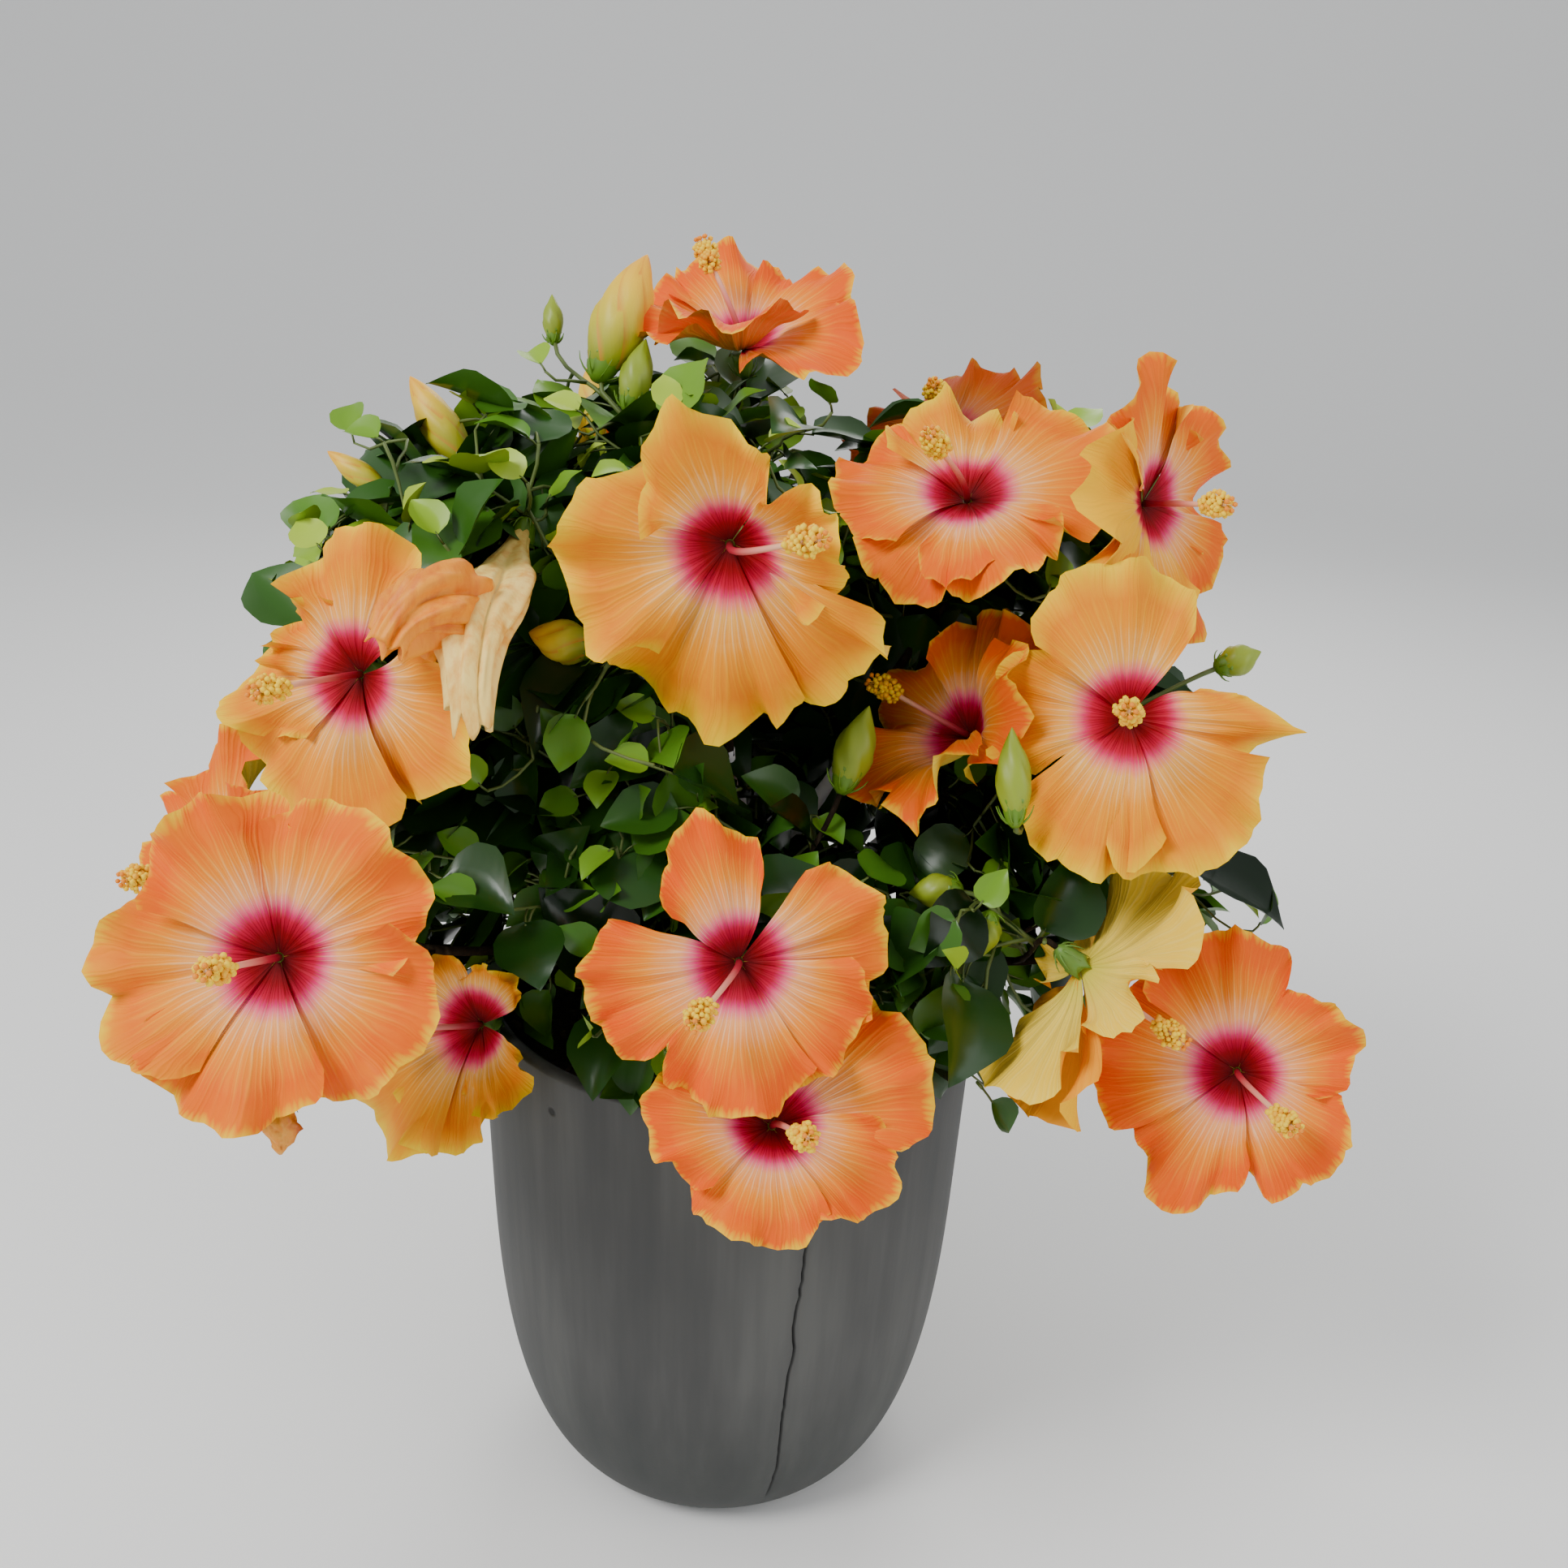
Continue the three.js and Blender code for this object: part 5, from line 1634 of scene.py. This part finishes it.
def bud_finish():
    """Green at the foot and yellow to the tip, with orange overlaps; a wilted flower is orange-brown."""
    finish = Finish("bud_yellow", paint(226, 196, 92), 0.5)
    fresh = finish.ramp(finish.attribute("along"), [
        (0.1, (132, 148, 34)), (0.4, (206, 190, 44)), (0.75, (246, 194, 34)), (1.0, (246, 170, 26)),
    ])
    streak = finish.reached(finish.attribute("ridge"), 0.4, 0.0, 0.75)
    fresh = finish.blend(streak, fresh, paint(226, 130, 40))
    faded = finish.ramp(finish.noise((70, 70, 70)), [
        (0.35, (196, 92, 16)), (0.5, (232, 140, 30)), (0.7, (246, 180, 70)),
    ])
    finish.colour(finish.blend(finish.attribute("wilt"), fresh, faded))
    finish.bump(finish.noise((300, 300, 60)), 0.3, 0.0008)
    return finish.material


# Stage

SWEEP_START = 3.2
SWEEP_RADIUS = 3.0
SWEEP_CELLS = 240
# Lights: name, place, size, share of the key light's power. All point at one place in the plant.
LIGHTS = [
    ("key_light", (-1.7, -1.5, 2.7), 1.3, 1.0),
    ("fill_light", (2.2, -1.2, 1.6), 2.0, 0.28),
    ("back_light", (0.4, 2.3, 2.2), 1.8, 0.4),
]
LIT_PLACE = Vector((0, 0, 0.5))
SKY_COLOUR = (0.93, 0.96, 1.0, 1)
# The camera as it was fitted to the pot: place, angles in degrees, and pixels of the square photograph
CAMERA_PLACE = (0.033, -0.995, 0.955)
CAMERA_PITCH = 22
CAMERA_ROLL = -2.6
SENSOR_WIDTH = 36
FOCAL_PIXELS = 1900
PHOTO_PIXELS = 1932


def set_floor(stage):
    """A pale floor that sweeps up behind the plant."""
    bm = bmesh.new()
    bmesh.ops.create_grid(bm, x_segments=1, y_segments=SWEEP_CELLS, size=stage.floor_size / 2)
    for vert in bm.verts:
        run = vert.co.y - SWEEP_START
        if run > 0:
            angle = min(run / SWEEP_RADIUS, math.pi / 2)
            vert.co.y = SWEEP_START + SWEEP_RADIUS * math.sin(angle)
            vert.co.z = SWEEP_RADIUS * (1 - math.cos(angle)) + max(0, run - SWEEP_RADIUS * math.pi / 2)
    finish = Finish("pale_floor", stage.floor_colour, 0.85)
    floor = linked("floor", mesh_of("floor", bm, [finish.material]))


def set_lights(scene, stage):
    """Soft light from all round and three large lamps."""
    world = scene.world or bpy.data.worlds.new("soft_sky")
    scene.world = world
    world.use_nodes = True
    background = world.node_tree.nodes["Background"]
    background.inputs["Color"].default_value = SKY_COLOUR
    background.inputs["Strength"].default_value = stage.sky
    for name, place, size, share in LIGHTS:
        light = bpy.data.lights.new(name, "AREA")
        light.shape, light.size, light.energy = "DISK", size, stage.key * share
        lamp = linked(name, light)
        lamp.location = place
        lamp.rotation_euler = (LIT_PLACE - lamp.location).to_track_quat("-Z", "Y").to_euler()


def set_camera(scene):
    data = bpy.data.cameras.new("camera")
    data.sensor_fit, data.sensor_width = "HORIZONTAL", SENSOR_WIDTH
    data.lens = SENSOR_WIDTH * FOCAL_PIXELS / PHOTO_PIXELS
    pitch, roll = math.radians(CAMERA_PITCH), math.radians(CAMERA_ROLL)
    ahead = Vector((0, math.cos(pitch), -math.sin(pitch)))
    right = Vector((1, 0, 0))
    down = ahead.cross(right)
    across = spoke(right, down, roll)
    below = down * math.cos(roll) - right * math.sin(roll)
    turned = Matrix((across, -below, -ahead)).transposed().to_4x4()
    camera = linked("camera", data)
    camera.matrix_world = Matrix.Translation(CAMERA_PLACE) @ turned
    scene.camera = camera


class HIBISCUS_OT_stage(Operator):
    """Sets the pale floor, the soft light and the camera at the photograph's angle"""

    bl_idname = "hibiscus.stage"
    bl_label = "Stage"

    def execute(self, context):
        stage = context.scene.hibiscus_stage
        set_floor(stage)
        set_lights(context.scene, stage)
        set_camera(context.scene)
        return {"FINISHED"}


class HIBISCUS_PT_panel(Panel):
    """Lists the steps that build the plant"""

    bl_label = "Potted Hibiscus"
    bl_idname = "HIBISCUS_PT_panel"
    bl_space_type = "VIEW_3D"
    bl_region_type = "UI"
    bl_category = "Hibiscus"

    def draw(self, context):
        for step in STEPS:
            self.layout.operator(step.bl_idname)
        for name in SETTINGS:
            settings = getattr(context.scene, name)
            box = self.layout.box()
            box.label(text=name.replace("_", " ").capitalize())
            for key in settings.__annotations__:
                box.prop(settings, key)


STEPS = (HIBISCUS_OT_pot, HIBISCUS_OT_soil, HIBISCUS_OT_trunk, HIBISCUS_OT_blooms, HIBISCUS_OT_buds,
         HIBISCUS_OT_foliage, HIBISCUS_OT_stage)
SETTINGS = {
    "hibiscus_pot": HibiscusPotSettings,
    "hibiscus_wood": HibiscusWoodSettings,
    "hibiscus_leaf": HibiscusLeafSettings,
    "hibiscus_bloom": HibiscusBloomSettings,
    "hibiscus_stage": HibiscusStageSettings,
}


def register():
    for settings in SETTINGS.values():
        bpy.utils.register_class(settings)
    for name, settings in SETTINGS.items():
        setattr(bpy.types.Scene, name, PointerProperty(type=settings))
    for step in STEPS:
        bpy.utils.register_class(step)
    bpy.utils.register_class(HIBISCUS_PT_panel)


def unregister():
    bpy.utils.unregister_class(HIBISCUS_PT_panel)
    for step in reversed(STEPS):
        bpy.utils.unregister_class(step)
    for name, settings in SETTINGS.items():
        delattr(bpy.types.Scene, name)
        bpy.utils.unregister_class(settings)


def main():
    """Registers the add-on and runs its steps in order."""
    register()
    bpy.ops.hibiscus.pot()
    bpy.ops.hibiscus.soil()
    bpy.ops.hibiscus.trunk()
    bpy.ops.hibiscus.blooms()
    bpy.ops.hibiscus.buds()
    bpy.ops.hibiscus.foliage()
    bpy.ops.hibiscus.stage()


if __name__ == "__main__":
    main()
